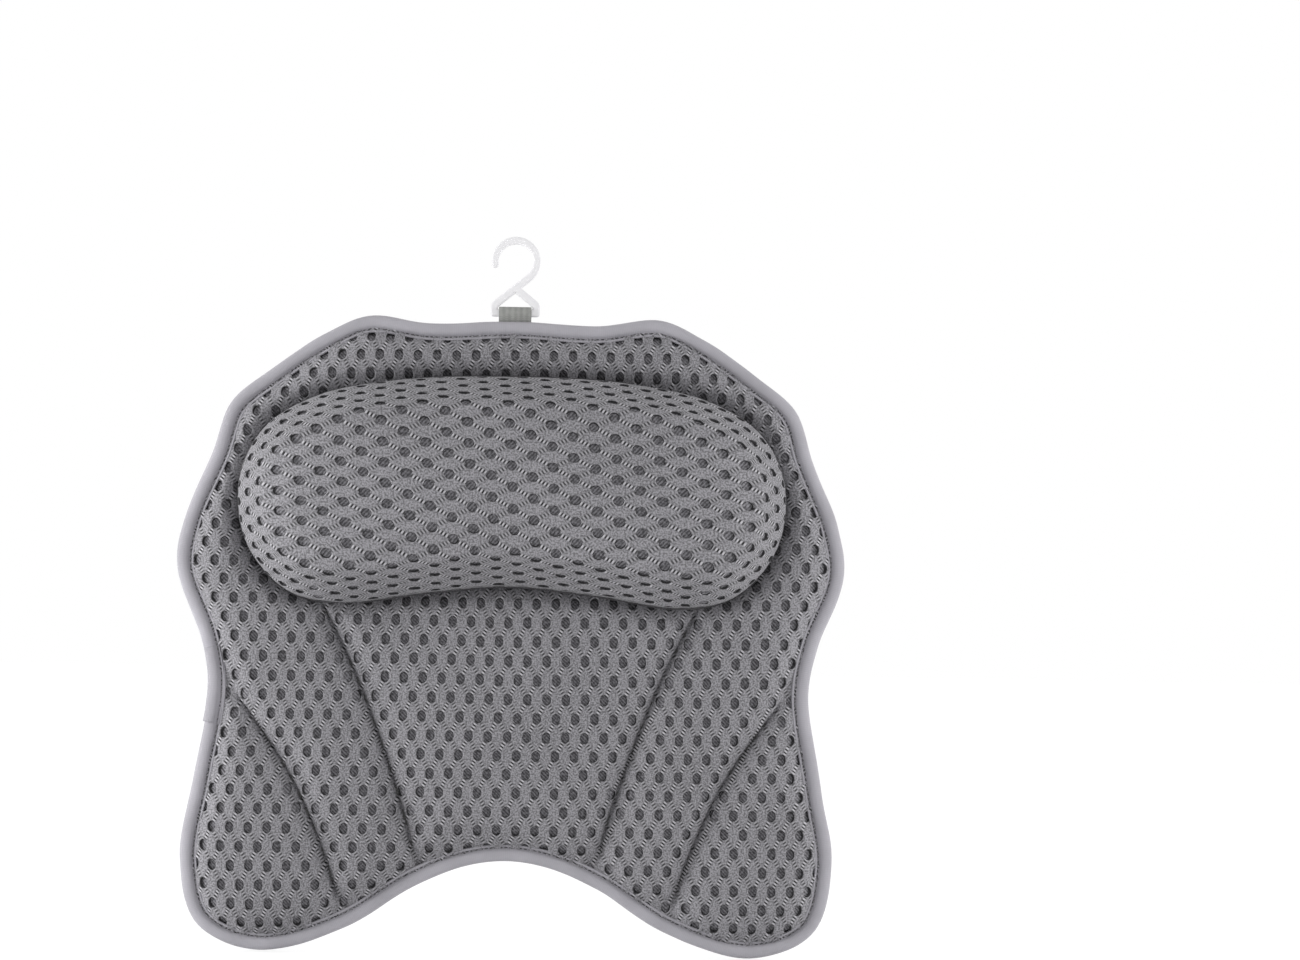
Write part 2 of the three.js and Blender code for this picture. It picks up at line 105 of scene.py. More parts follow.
# %% A socket that can be calculated with
class Paint:
    """A shader socket. Sums on it add Math nodes; node() adds any other node to the same material."""

    def __init__(self, tree, socket=None):
        self.tree = tree
        self.socket = socket

    def node(self, kind, settings=None, values=None, output=0):
        made = self.tree.nodes.new(kind)
        for name, value in (settings or {}).items():
            setattr(made, name, value)
        for name, value in (values or {}).items():
            if isinstance(value, Paint):
                self.tree.links.new(value.socket, made.inputs[name])
            else:
                made.inputs[name].default_value = value
        return Paint(self.tree, made.outputs[output] if made.outputs else None)

    def output(self, name):
        return Paint(self.tree, self.socket.node.outputs[name])

    def maths(self, operation, *values):
        return self.node("ShaderNodeMath", {"operation": operation}, dict(enumerate(values)))

    def __add__(self, other):
        return self.maths("ADD", self, other)

    __radd__ = __add__

    def __sub__(self, other):
        return self.maths("SUBTRACT", self, other)

    def __rsub__(self, other):
        return self.maths("SUBTRACT", other, self)

    def __mul__(self, other):
        return self.maths("MULTIPLY", self, other)

    __rmul__ = __mul__

    def larger(self, other):
        return self.maths("MAXIMUM", self, other)

    def wave(self):
        """A ripple from 0 to 1 that repeats once for each whole number."""
        return 0.5 + 0.5 * self.maths("SINE", self * (2 * math.pi))

    def off_whole(self):
        """How far the value is from the nearest whole number, from 0 to 0.5."""
        return self.maths("ABSOLUTE", self.maths("FRACT", self + 0.5) - 0.5)

    def step(self, low, high):
        """0 below low, 1 above high, and a soft rise between; with low above high, the other way round."""
        limits = {"Value": self, "From Min": low, "From Max": high, "To Min": 0.0, "To Max": 1.0}
        return self.node("ShaderNodeMapRange", {"interpolation_type": "SMOOTHSTEP"}, limits)

    def between(self, first, second):
        """A colour that goes from the first to the second as the value goes from 0 to 1."""
        return self.node("ShaderNodeMix", {"data_type": "RGBA"}, {0: self, 6: first, 7: second}, 2)


def new_finish(name):
    """An empty material, and a Paint that adds nodes to it."""
    material = bpy.data.materials.new(name)
    material.use_nodes = True
    material.node_tree.nodes.clear()
    return material, Paint(material.node_tree)


def finish_with(paint, colour, height=None, depth=0.0, **values):
    """Closes a material: its colour, a relief of a given depth in metres, and the shader's other values."""
    sockets = {"Base Color": colour}
    for name, value in values.items():
        sockets[name.replace("_", " ").title().replace("Ior", "IOR")] = value
    if height is not None:
        relief = {"Strength": 1.0, "Distance": depth, "Height": height}
        sockets["Normal"] = paint.node("ShaderNodeBump", {}, relief)
    shader = paint.node("ShaderNodeBsdfPrincipled", {}, sockets)
    paint.node("ShaderNodeOutputMaterial", {}, {"Surface": shader})


def grey(level, violet=0.0):
    """A neutral colour with a touch of violet, as linear light."""
    return (level * (1 + 0.3 * violet), level, level * (1 + violet), 1.0)


print("paint ready")

# %% [markdown]
# ## Stage and light
# The pillow stands on a plain pale floor in soft studio light: a lamp far out on each side, level with the
# pillow, and an even glow from all round. Lamps that graze the cloth from the sides show its holes and its
# swelling. A white world lights the shadows too much, so the glow is grey, and only the camera, mirrors and
# clear plastic see white.

# %% Floor, world and lamps
FLOOR_SIZE = 12.0
FLOOR_DROP = 0.001
FLOOR_GREY = 0.92
FLOOR_SHINE = 1.2
FLOOR_WHITENED = 0.7
GLOW = 0.78
LAMP_SIZE = 0.5
LAMP_AIM = Vector((0, 0, 0.02))


def seen_directly(paint):
    """1 for rays that show the background itself: camera, mirror and see-through rays."""
    camera_ray = paint.node("ShaderNodeLightPath", output="Is Camera Ray")
    mirror_ray = camera_ray.output("Is Glossy Ray")
    return camera_ray.larger(mirror_ray).larger(camera_ray.output("Is Transmission Ray"))


def to_object(name, bm, finishes):
    """An object at the origin with the bmesh for its mesh, in the given finishes."""
    mesh = bpy.data.meshes.new(name)
    bm.to_mesh(mesh)
    bm.free()
    for finish in finishes:
        mesh.materials.append(finish)
    made = bpy.data.objects.new(name, mesh)
    scene.collection.objects.link(made)
    return made


floor_finish, paint = new_finish("pale_floor")
lit_floor = paint.node("ShaderNodeBsdfDiffuse", {}, {"Color": grey(FLOOR_GREY)})
white_floor = paint.node("ShaderNodeEmission", {}, {"Color": grey(1.0), "Strength": FLOOR_SHINE})
floor_mix = {0: seen_directly(paint) * FLOOR_WHITENED, 1: lit_floor, 2: white_floor}
paint.node("ShaderNodeOutputMaterial", {}, {"Surface": paint.node("ShaderNodeMixShader", {}, floor_mix)})

bm = bmesh.new()
bmesh.ops.create_grid(bm, x_segments=1, y_segments=1, size=FLOOR_SIZE / 2)
bmesh.ops.translate(bm, verts=bm.verts, vec=(0, 0, cad_box[0].z - FLOOR_DROP))
floor = to_object("floor", bm, [floor_finish])

world = bpy.data.worlds.new("studio")
world.use_nodes = True
world.node_tree.nodes.clear()
paint = Paint(world.node_tree)
glow = paint.node("ShaderNodeBackground", {}, {"Color": grey(1.0), "Strength": GLOW})
white = paint.node("ShaderNodeBackground", {}, {"Color": grey(1.0), "Strength": 1.0})
sky_mix = {0: seen_directly(paint), 1: glow, 2: white}
paint.node("ShaderNodeOutputWorld", {}, {"Surface": paint.node("ShaderNodeMixShader", {}, sky_mix)})
scene.world = world


def lamp(name, place, power):
    """A square soft lamp that faces the middle of the pillow."""
    light = bpy.data.lights.new(name, "AREA")
    light.size = LAMP_SIZE
    light.energy = power
    made = bpy.data.objects.new(name, light)
    made.location = place
    made.rotation_euler = (LAMP_AIM - Vector(place)).to_track_quat("-Z", "Y").to_euler()
    scene.collection.objects.link(made)


lamp("left_lamp", (-1.3, -0.32, 0.02), 11.5)
lamp("right_lamp", (1.3, -0.32, 0.02), 6.5)
print("stage and lamps ready")

# %% [markdown]
# ## Mesh cloth finish
# The cloth is a warp-knitted spacer mesh. Between its oval holes run ladders of short rungs, which join
# each hole to its neighbours in the next rows, those one way a little fainter than those the other way, and
# the rest is a fine close knit. The pattern follows the cloth, so it reads a UV map named "flat" that
# counts hole spacings on the uncut cloth: a hole sits wherever both slanting counts are whole numbers. The
# floor of a hole is the inner face of the cloth, darker because little light reaches it. The walls of a
# hole are coloured near black, which is painted shade for the shade that falls inside the hole.

# %% Mesh cloth, and the floor and walls of its holes
RUNGS = 6.5
SLANT = 0.45
FAINT = 0.75
CORE = (0.11, 0.075)
FRINGE = (0.22, 0.11)
RUNG = (0.3, 0.75)
HOLE_SHARE = (0.255, 0.315)


def flat_counts(paint):
    """Hole spacings along and across the rows of the cloth."""
    counts = paint.node("ShaderNodeSeparateXYZ", {}, {0: paint.node("ShaderNodeUVMap", {"uv_map": "flat"})})
    return counts.output("X"), counts.output("Y")


def flat_noise(paint, scale, detail=2.0):
    """Cloudy variation that lies flat in the cloth."""
    flat_map = paint.node("ShaderNodeUVMap", {"uv_map": "flat"})
    values = {"Vector": flat_map, "Scale": scale, "Detail": detail}
    return paint.node("ShaderNodeTexNoise", {"noise_dimensions": "2D"}, values)


mesh_cloth, paint = new_finish("mesh_cloth")
along, across = flat_counts(paint)
rising = along + across * 0.5
falling = along - across * 0.5
up_core = falling.off_whole().step(*CORE)
down_core = rising.off_whole().step(*CORE) * FAINT
up_fringe = falling.off_whole().step(*FRINGE)
down_fringe = rising.off_whole().step(*FRINGE) * FAINT
up_rungs = ((rising - falling * SLANT) * RUNGS).wave().step(*RUNG)
down_rungs = ((falling - rising * SLANT) * RUNGS).wave().step(*RUNG)
core = up_core.larger(down_core)
fringe = up_fringe.larger(down_fringe)
rungs = (up_core * up_rungs).larger(down_core * down_rungs * (1 - up_core))
hatch = (up_fringe * up_rungs).larger(down_fringe * down_rungs)

nearest_up = rising.maths("ROUND", rising)
nearest_down = falling.maths("ROUND", falling)
off_along = (along - (nearest_up + nearest_down) * 0.5) * (1 / HOLE_SHARE[0])
off_across = (across - (nearest_up - nearest_down)) * (1 / HOLE_SHARE[1])
from_hole = paint.maths("SQRT", off_along * off_along + off_across * off_across)
# The ring round each hole, its lip, which gets a painted highlight.
lip = from_hole.step(1.4, 1.1) * from_hole.step(0.85, 1.0)

knit = flat_noise(paint, 11.0)
wales = (along * 13).wave()
place = paint.node("ShaderNodeTexCoord", output="Object")
shade = paint.node("ShaderNodeTexNoise", {}, {"Vector": place, "Scale": 16.0, "Detail": 3.0})
web_tone = (knit * 2.2 + wales * 0.15 + shade * 0.4).step(0.9, 1.8)
web_colour = web_tone.between(grey(0.12, 0.07), grey(0.325, 0.07))
hatch_colour = hatch.between(grey(0.035, 0.07), grey(0.33, 0.07))
rung_colour = rungs.between(grey(0.012, 0.08), grey(0.49, 0.06))
cloth_colour = core.between((fringe * 0.45).between(web_colour, hatch_colour), rung_colour)
# The lips round the holes are painted a little lighter: a painted highlight.
cloth_with_lip_highlight = (lip * 0.15).between(cloth_colour, grey(0.33, 0.06))
relief = knit * 0.35 + wales * (1 - fringe) * 0.15 + hatch * 0.15 + rungs * 0.5
finish_with(paint, cloth_with_lip_highlight, relief, 0.0004, roughness=0.82, sheen_weight=0.1)

hole_floor, paint = new_finish("hole_floor")
along, across = flat_counts(paint)
yarns = (along * 5 + across * 5).wave()
fluff = flat_noise(paint, 8.0, 3.0)
depth_tone = (yarns * 0.25 + fluff * 0.9).step(0.35, 0.85)
finish_with(paint, depth_tone.between(grey(0.08, 0.08), grey(0.3, 0.08)), yarns, 0.0003, roughness=0.9)

# The hole walls are coloured near black: painted shade for the shade inside each hole.
hole_wall, paint = new_finish("hole_wall")
wall_shade_mottle = flat_noise(paint, 24.0)
finish_with(paint, wall_shade_mottle.step(0.3, 0.7).between(grey(0.015, 0.08), grey(0.05, 0.08)), roughness=0.9)
MESH_FINISHES = [mesh_cloth, hole_floor, hole_wall]
print("mesh cloth ready")

# %% [markdown]
# ## Tape, thread, webbing and patch finishes
# The other cloths are narrow woven goods. Their pieces carry a UV map named "laid", in metres along and
# across the strip, so the weave bends round every corner with the cloth. The binding tape is a smooth close
# twill, lighter than the mesh. The webbing has strong lengthwise ribs, and the patches are plain canvas.

# %% Narrow cloths


def laid_axes(paint):
    """Metres along and across a strip."""
    laid = paint.node("ShaderNodeSeparateXYZ", {}, {0: paint.node("ShaderNodeUVMap", {"uv_map": "laid"})})
    return laid.output("X"), laid.output("Y")


def soft_noise(paint, scale, detail=3.0):
    """Cloudy variation of a given scale that stays with the piece."""
    place = paint.node("ShaderNodeTexCoord", output="Object")
    return paint.node("ShaderNodeTexNoise", {}, {"Vector": place, "Scale": scale, "Detail": detail})


tape_cloth, paint = new_finish("binding_tape")
along, across = laid_axes(paint)
twill = ((along + across) * 1400).wave()
weft = (along * 900).wave()
clouds = soft_noise(paint, 45.0)
tone = (twill * 0.25 + weft * 0.15 + clouds * 0.9).step(0.3, 1.1)
finish_with(paint, tone.between(grey(0.35, 0.09), grey(0.45, 0.09)), twill * 0.6 + weft * 0.4, 0.00012,
            roughness=0.7, sheen_weight=0.2)

thread, paint = new_finish("thread")
strands = soft_noise(paint, 2600.0, 1.0)
thread_colour = strands.step(0.3, 0.7).between(grey(0.04, 0.08), grey(0.11, 0.08))
finish_with(paint, thread_colour, strands, 0.0001, roughness=0.6)

webbing, paint = new_finish("webbing")
along, across = laid_axes(paint)
ribs = (across * 640).wave()
picks = (along * 900 + ribs * 0.5).wave()
worn = soft_noise(paint, 300.0)
tone = (ribs * 0.25 + picks * 0.25 + worn * 0.7).step(0.1, 1.1)
webbing_colour = tone.between((0.22, 0.224, 0.212, 1), (0.36, 0.365, 0.35, 1))
finish_with(paint, webbing_colour, ribs * 0.4 + picks * 0.4, 0.0001, roughness=0.8)

patch_cloth, paint = new_finish("patch_canvas")
place = paint.node("ShaderNodeSeparateXYZ", {}, {0: paint.node("ShaderNodeTexCoord", output="Object")})
warp = (place.output("X") * 1100).wave()
filling = (place.output("Z") * 1100).wave()
tone = (warp * filling + soft_noise(paint, 120.0) * 0.5).step(0.1, 1.0)
finish_with(paint, tone.between(grey(0.1, 0.06), grey(0.2, 0.06)), warp * filling, 0.00025, roughness=0.85)
print("tape, thread, webbing and patch finishes ready")

# %% [markdown]
# ## Foam, plastic and clear vinyl finishes
# The stuffing hardly shows, so it is plain open-cell foam. The hook is glossy white moulded plastic with a
# faint flow mark, and the suction cups are soft clear vinyl, which wants real transmission.

# %% Foam, plastic, vinyl
foam, paint = new_finish("foam")
place = paint.node("ShaderNodeTexCoord", output="Object")
cells = paint.node("ShaderNodeTexVoronoi", {}, {"Vector": place, "Scale": 900.0})
finish_with(paint, cells.step(0.1, 0.6).between(grey(0.05), grey(0.12)), cells, 0.0004, roughness=0.95)

white_plastic, paint = new_finish("white_plastic")
flow = soft_noise(paint, 90.0)
finish_with(paint, flow.between(grey(0.82, 0.02), grey(0.86, 0.02)), roughness=flow * 0.1 + 0.28)

clear_vinyl, paint = new_finish("clear_vinyl")
haze = soft_noise(paint, 70.0)
finish_with(paint, (0.92, 0.95, 0.96, 1.0), roughness=haze * 0.12 + 0.04, transmission_weight=0.95, ior=1.5)
print("foam, plastic and vinyl ready")

# %% [markdown]
# ## Outlines
# The panel's butterfly outline, the bean of the headrest and the sewn channels are smooth curves through a
# few drawn points, in millimetres. Each is drawn for one half, mirrored, and stretched to the box of its
# solid, so the cloth ends where the solids end. The lower channels run out a little higher than in the
# solids, as on a real pillow.

# %% Curves through drawn points
LINE_STEPS = 16
PANEL_STEPS = 420
HEADREST_STEPS = 300
CHANNEL_STEPS = 26
PANEL_HALF = ((0, 194), (51, 192), (90.5, 196), (117, 184.5), (148.5, 163), (174, 141.5), (184.5, 111.5),
              (201.5, 69.5), (205.5, 38.5), (190, -4), (185, -34), (193.5, -90), (201, -140), (190, -180),
              (152.5, -196), (100, -182), (57, -155.5), (26, -142.5), (0, -138.7))
HEADREST_HALF = ((0, 70), (70, 67), (120, 56.5), (152, 36.5), (167, 4), (162, -35), (137, -63.5), (104, -70.5),
                 (50, -63.5), (0, -59))
CHANNEL_HALVES = (((119, 25), (97, -19), (82, -55), (68, -95), (58, -130), (52, -170)),
                  ((197, -3), (176, -27), (158, -51.5), (134.5, -86), (115, -127.5), (104, -160), (96, -200)))


def mirrored(half):
    """The whole outline, from the half on the right."""
    return [*half, *((-x, y) for x, y in half[-2:0:-1])]


def smooth_line(knots, closed):
    """Closely spaced points of the smooth curve through some knots."""
    knots = np.array(knots, float)
    if closed:
        chain = np.vstack([knots[-1:], knots, knots[:2]])
    else:
        chain = np.vstack([2 * knots[:1] - knots[1:2], knots, 2 * knots[-1:] - knots[-2:-1]])
    fine = []
    for before, start, end, after in zip(chain, chain[1:], chain[2:], chain[3:]):
        spans = ((before, start), (start, end), (end, after))
        lead, span, tail = (np.linalg.norm(b - a) ** 0.5 for a, b in spans)
        leave = span * ((start - before) / lead - (end - before) / (lead + span) + (end - start) / span)
        arrive = span * ((end - start) / span - (after - start) / (span + tail) + (after - end) / tail)
        for t in np.linspace(0, 1, LINE_STEPS, endpoint=False):
            bend = (2 * t**3 - 3 * t**2 + 1) * start + (t**3 - 2 * t**2 + t) * leave
            fine.append(bend + (3 * t**2 - 2 * t**3) * end + (t**3 - t**2) * arrive)
    return np.array(fine if closed else [*fine, knots[-1]])


def evenly(line, steps, closed):
    """The same line with its points evenly spaced."""
    chain = np.vstack([line, line[:1]]) if closed else line
    gone = np.concatenate([[0], np.cumsum(np.linalg.norm(np.diff(chain, axis=0), axis=1))])
    marks = np.linspace(0, gone[-1], steps, endpoint=not closed)
    return np.column_stack([np.interp(marks, gone, chain[:, k]) for k in range(2)])


def fitted(drawing, node):
    """How a drawing in millimetres is stretched to the front view of a solid's box."""
    low, high = (np.array((corner.x, corner.z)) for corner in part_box(node))
    scale = (high - low) / (drawing.max(0) - drawing.min(0))
    return lambda points: low + (np.array(points) - drawing.min(0)) * scale


panel_drawing = smooth_line(mirrored(PANEL_HALF), True)
on_panel = fitted(panel_drawing, "edge_binding")
panel = evenly(on_panel(panel_drawing), PANEL_STEPS, True)
headrest_drawing = smooth_line(mirrored(HEADREST_HALF), True)
on_rest = fitted(headrest_drawing, "headrest_piping")
headrest = evenly(on_rest(headrest_drawing), HEADREST_STEPS, True)
channels = []
for half in CHANNEL_HALVES:
    for side in (-1, 1):
        knots = on_panel([(side * x, y) for x, y in half])
        channels.append(evenly(smooth_line(knots, False), CHANNEL_STEPS, False))
print("outlines: panel", len(panel), "points, headrest", len(headrest), "points,", len(channels), "channels")

# %% [markdown]
# Sewing works with distances from edges and seams: how far a point is from a line, whether it is inside an
# outline, and the outline moved in by a seam allowance. NumPy answers for thousands of points at once.

# %% Distances from edges and seams
BATCH = 4000


def drawn_in(line, distance):
    """A closed outline moved inwards, square to itself."""
    run = np.roll(line, -1, axis=0) - np.roll(line, 1, axis=0)
    run /= np.linalg.norm(run, axis=1, keepdims=True)
    return line + np.reshape(distance, (-1, 1)) * np.column_stack([run[:, 1], -run[:, 0]])


def nearest_on(line, points, closed=True):
    """For each point, the nearest point of a line, its distance, and the number of the stretch it is on."""
    starts = line if closed else line[:-1]
    spans = np.roll(line, -1, axis=0) - line if closed else np.diff(line, axis=0)
    feet = np.empty_like(points)
    stretch = np.empty(len(points), int)
    for first in range(0, len(points), BATCH):
        part = points[first:first + BATCH]
        reach = part[:, None] - starts[None]
        share = np.clip((reach * spans).sum(2) / (spans**2).sum(1), 0, 1)
        spots = starts + share[:, :, None] * spans
        best = ((part[:, None] - spots) ** 2).sum(2).argmin(1)
        stretch[first:first + BATCH] = best
        feet[first:first + BATCH] = spots[np.arange(len(part)), best]
    return feet, np.linalg.norm(points - feet, axis=1), stretch


def inside(line, points):
    """Which points lie inside a closed outline, by counting the edges to their right."""
    start, end = line, np.roll(line, -1, axis=0)
    x, y = points[:, :1], points[:, 1:]
    spans = (start[:, 1] > y) != (end[:, 1] > y)
    rise = np.where(end[:, 1] == start[:, 1], 1, end[:, 1] - start[:, 1])
    crossing = start[:, 0] + (y - start[:, 1]) * (end[:, 0] - start[:, 0]) / rise
    return (spans & (x < crossing)).sum(1) % 2 == 1


def from_channels(points):
    """Distance to the nearest sewn channel."""
    return np.min([nearest_on(line, points, False)[1] for line in channels], axis=0)


trials = np.random.default_rng(1).uniform(-0.2, 0.2, (BATCH, 2))
print("panel area", round(inside(panel, trials).mean() * 0.16, 3), "m2")

# %% [markdown]
# ## Making a piece
# Every piece ends the same way: its bmesh becomes an object at the origin, gets its finishes, rides on a
# body of the frame, and stands for the solid it replaces.


# %% From bmesh to a piece that rides on a body
def dressed(made, body="pillow", replaces=()):
    """Puts an object on its body, and hides the solids it stands for."""
    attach(made, body)
    if replaces:
        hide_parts(*replaces)
    print(made.name, len(made.data.polygons), "faces")
    return made


def piece(name, bm, finishes, body="pillow", replaces=()):
    """A finished piece from its bmesh."""
    return dressed(to_object(name, bm, finishes), body, replaces)


def node_height(node, corner):
    """How far a solid's back (1) or front (0) is from the wall."""
    return -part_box(node)[corner].y


foam_back = node_height("pad_foam", 1)
foam_crown = node_height("pad_foam", 0)
rear_back = node_height("rear_mesh", 1)
headrest_base = node_height("headrest_cover", 1)
layers = (rear_back, foam_back, foam_crown, headrest_base)
print("layers at", [round(layer * 1000, 1) for layer in layers], "mm")

# %% [markdown]
# ## Panel stuffing
# The panel is filled with soft wadding, sewn flat along its edge, along four channels and under the
# headrest. A height painted by hand looks stiff, so the pad is blown up by cloth simulation: everything
# that is sewn down is pinned, pressure swells the rest, and the swelling is eased off before it grows too
# far.

# %% Blow up a sewn pad
SWELL_FRAMES = 20
SWELL_PRESSURE = 4.0


def settle_order(bm):
    """Orders edges and faces by place, so that the simulation adds up the same way on every run."""
    for parts in (bm.edges, bm.faces):
        by_place = sorted(parts, key=lambda part: tuple(sum((v.co for v in part.verts), Vector())))
        for number, part in enumerate(by_place):
            part.index = number
        parts.sort()


def swell(made, sewn_down, most):
    """Inflates a closed mesh between its pinned points; no point moves further than most."""
    count = len(made.data.vertices)
    start = np.empty(count * 3)
    made.data.vertices.foreach_get("co", start)
    pins = made.vertex_groups.new(name="sewn_down")
    pins.add([int(k) for k in np.flatnonzero(sewn_down)], 1.0, "REPLACE")
    stuffing = made.modifiers.new("stuffing", "CLOTH")
    stuffing.settings.vertex_group_mass = pins.name
    stuffing.settings.use_pressure = True
    stuffing.settings.uniform_pressure_force = SWELL_PRESSURE
    stuffing.settings.effector_weights.gravity = 0
    for number in range(1, SWELL_FRAMES + 1):
        scene.frame_set(number)
    blown = made.evaluated_get(bpy.context.evaluated_depsgraph_get())
    end = np.empty(count * 3)
    blown.data.vertices.foreach_get("co", end)
    made.modifiers.remove(stuffing)
    made.vertex_groups.remove(pins)
    scene.frame_set(1)
    move = (end - start).reshape(-1, 3)
    far = np.linalg.norm(move, axis=1, keepdims=True)
    eased = start.reshape(-1, 3) + move * most / (most + far)
    made.data.vertices.foreach_set("co", eased.ravel())
    made.data.update()
    print(made.name, "swelled by up to", round(float((move * most / (most + far)).max() * 1000), 1), "mm")


# %% [markdown]
# The pad is cut from a flat grid: the cells inside the outline are extruded into a slab, and its front is
# raised to the crown of the foam, rounded off towards the edge and dipped along every seam. A little noise
# keeps the filling uneven, as wadding is.

# %% Cut the panel's pad
PAD_STEP = 0.005
PAD_SPAN = 0.42
PAD_INSET = 0.004
PAD_EDGE = 0.003
TAPE_WIDTH = 0.0104
TAPE_CLEAR = 0.002
EDGE_RAMP = 0.018
CHANNEL_DIP = 0.005
CHANNEL_REACH = 0.017
UNEVEN = 0.0014
VALLEY_INSET = 0.0005
VALLEY_DIP = 0.004
VALLEY_REACH = 0.016

foam_edge = foam_back + PAD_EDGE
valley_line = drawn_in(headrest, VALLEY_INSET)
pad_edge = drawn_in(panel, PAD_INSET)
bm = bmesh.new()
pad_cells = math.ceil(PAD_SPAN / PAD_STEP)
bmesh.ops.create_grid(bm, x_segments=pad_cells, y_segments=pad_cells, size=pad_cells * PAD_STEP / 2,
                      matrix=Matrix.Rotation(math.radians(90), 4, "X"))
bm.verts.index_update()
within = inside(pad_edge, np.array([v.co.xz for v in bm.verts]))
outside = [face for face in bm.faces if not all(within[v.index] for v in face.verts)]
bmesh.ops.delete(bm, geom=outside, context="FACES")
front = bmesh.ops.extrude_face_region(bm, geom=bm.faces[:], use_keep_orig=True)["geom"]
front = [v for v in front if isinstance(v, bmesh.types.BMVert)]
flat_places = np.array([v.co.xz for v in front])
edge_distance = nearest_on(panel, flat_places)[1]
ramp = np.clip((edge_distance - TAPE_WIDTH - TAPE_CLEAR) / EDGE_RAMP, 0, 1)
height = foam_edge + (foam_crown - foam_edge) * np.sqrt(1 - (1 - ramp) ** 2)
dip = CHANNEL_DIP * np.clip(1 - (from_channels(flat_places) / CHANNEL_REACH) ** 2, 0, 1) ** 2
valley = VALLEY_DIP * np.clip(1 - (nearest_on(valley_line, flat_places)[1] / VALLEY_REACH) ** 2, 0, 1) ** 2
valley[inside(valley_line, flat_places)] = VALLEY_DIP
lumps = UNEVEN * ramp * np.array([noise.noise(Vector((x * 28, 0.7, z * 40))) for x, z in flat_places])
height = np.maximum(height + lumps - np.maximum(dip, valley), foam_edge)
for v, h in zip(front, height):
    v.co.y = -h
for v in set(bm.verts) - set(front):
    v.co.y = -foam_back
bmesh.ops.recalc_face_normals(bm, faces=bm.faces)
settle_order(bm)
panel_pad = to_object("panel_pad", bm, [foam])
pad_mesh = panel_pad.data
print("pad cut,", len(pad_mesh.vertices), "points")

# %% [markdown]
# What is sewn is held: the edge under the tape, a narrow band along each channel, and all that lies under
# the headrest. The rest may swell.

# %% Fill the panel's pad
PAD_SWELL = 0.006
TAPE_HOLDS = 0.004
CHANNEL_HOLDS = 0.0036
REST_HOLDS = 0.002
TOUCH = 1e-5

pad_points = np.array([v.co for v in pad_mesh.vertices])
flat_places = pad_points[:, [0, 2]]
held = pad_points[:, 1] > -foam_edge - TOUCH
held |= nearest_on(panel, flat_places)[1] < TAPE_WIDTH + TAPE_HOLDS
held |= from_channels(flat_places) < CHANNEL_HOLDS
held |= inside(drawn_in(headrest, -REST_HOLDS), flat_places)
swell(panel_pad, held, PAD_SWELL)

# %% [markdown]
# The cloth will be laid on a smoothed copy of the swollen pad. A BVH tree answers where a straight pin
# pushed through the cloth meets that surface. The pad itself is then pressed in a little along the
# channels, so that it stays under the cloth's sharper folds.

# %% The surface that carries the panel's cloth
CLOTH = 0.0028
FOLD_DEPTH = 0.004
FOLD_HALF = 0.008
SLIT_DEPTH = 0.006
SLIT_HALF = 0.0015
REST_FOLD = 0.0085
REST_REACH = 0.0095
FOLD_CLEAR = 0.0004
PRESSED_MORE = 1.25
PAD_CLEAR = 0.0006
LEAST_FOAM = 0.001
fold_floor = foam_edge + CLOTH + FOLD_CLEAR


def smooth_tree(made, levels):
    """A BVH tree of the piece, rounded by subdivision."""
    rounding = made.modifiers.new("rounding", "SUBSURF")
    rounding.levels = levels
    rounding.render_levels = levels
    tree = BVHTree.FromObject(made, bpy.context.evaluated_depsgraph_get())
    made.modifiers.remove(rounding)
    return tree


def fold(points):
    """How deep the cloth is folded in at each point, along the channels and round the headrest."""
    away = from_channels(points)
    channel = FOLD_DEPTH * np.clip(1 - away / FOLD_HALF, 0, 1) ** 1.6
    channel += SLIT_DEPTH * np.clip(1 - away / SLIT_HALF, 0, 1)
    from_rest = np.where(inside(valley_line, points), 0, nearest_on(valley_line, points)[1])
    return np.maximum(channel, REST_FOLD * np.clip(1 - from_rest / REST_REACH, 0, 1) ** 1.4)


pad_tree = smooth_tree(panel_pad, 2)
pad_points = np.array([v.co for v in pad_mesh.vertices])
pressed = np.clip(-pad_points[:, 1] - PRESSED_MORE * fold(pad_points[:, [0, 2]]), foam_back, None)
sewn_edge = held & (pad_points[:, 1] > -foam_edge - TOUCH)
pad_points[:, 1] = -np.where(sewn_edge, -pad_points[:, 1],
                             np.maximum(pressed - PAD_CLEAR, foam_back + LEAST_FOAM))
pad_mesh.vertices.foreach_set("co", pad_points.ravel())
pad_mesh.update()
dressed(panel_pad, replaces=["pad_foam"])

# %% [markdown]
# ## Open mesh cloth
# The holes are real: each is a pit in the cloth, with a soft lip round it. The uncut cloth is a slanted
# grid whose cells are diamonds, one for each hole. Splitting a diamond's edges gives it sixteen corners,
# and three insets turn it into web, lip and hole. Only then is the sheet laid over the stuffing and its
# holes pushed in, so the pits follow the swelling.

# %% Flat cloth with its holes drawn
HOLE_PITCH = 0.0116
WANDER = 0.002
WANDER_SEED = 7
EDGE_CUTS = 3
# for each inset: how far it goes from the diamond to the oval, the oval's swelling, and how far it stands off
HOLE_INSETS = ((0.5, 1.3, 0.0), (1.0, 1.17, 0.0004), (1.0, 1.0, -0.0002))


def diamond_cloth(first_hole, reach, turned=False, rear=False):
    """A flat sheet of diamond cells that covers a square, with one cell's middle at first_hole."""
    count = 2 * math.ceil(1.5 * reach / HOLE_PITCH)
    bm = bmesh.new()
    bmesh.ops.create_grid(bm, x_segments=count, y_segments=count, size=count / 2)
    first, second = Vector((0.5, 0, -1)), Vector((0.5, 0, 1))
    if turned:
        first, second = Vector((1, 0, 0.5)), Vector((-1, 0, 0.5))
    if rear:
        first, second = second, first
    corner = Vector(first_hole) - (first + second) * HOLE_PITCH / 2
    slant = Matrix((first * HOLE_PITCH, second * HOLE_PITCH, Vector((0, 1, 0)))).transposed().to_4x4()
    bmesh.ops.transform(bm, matrix=Matrix.Translation(corner) @ slant, verts=bm.verts)
    return bm


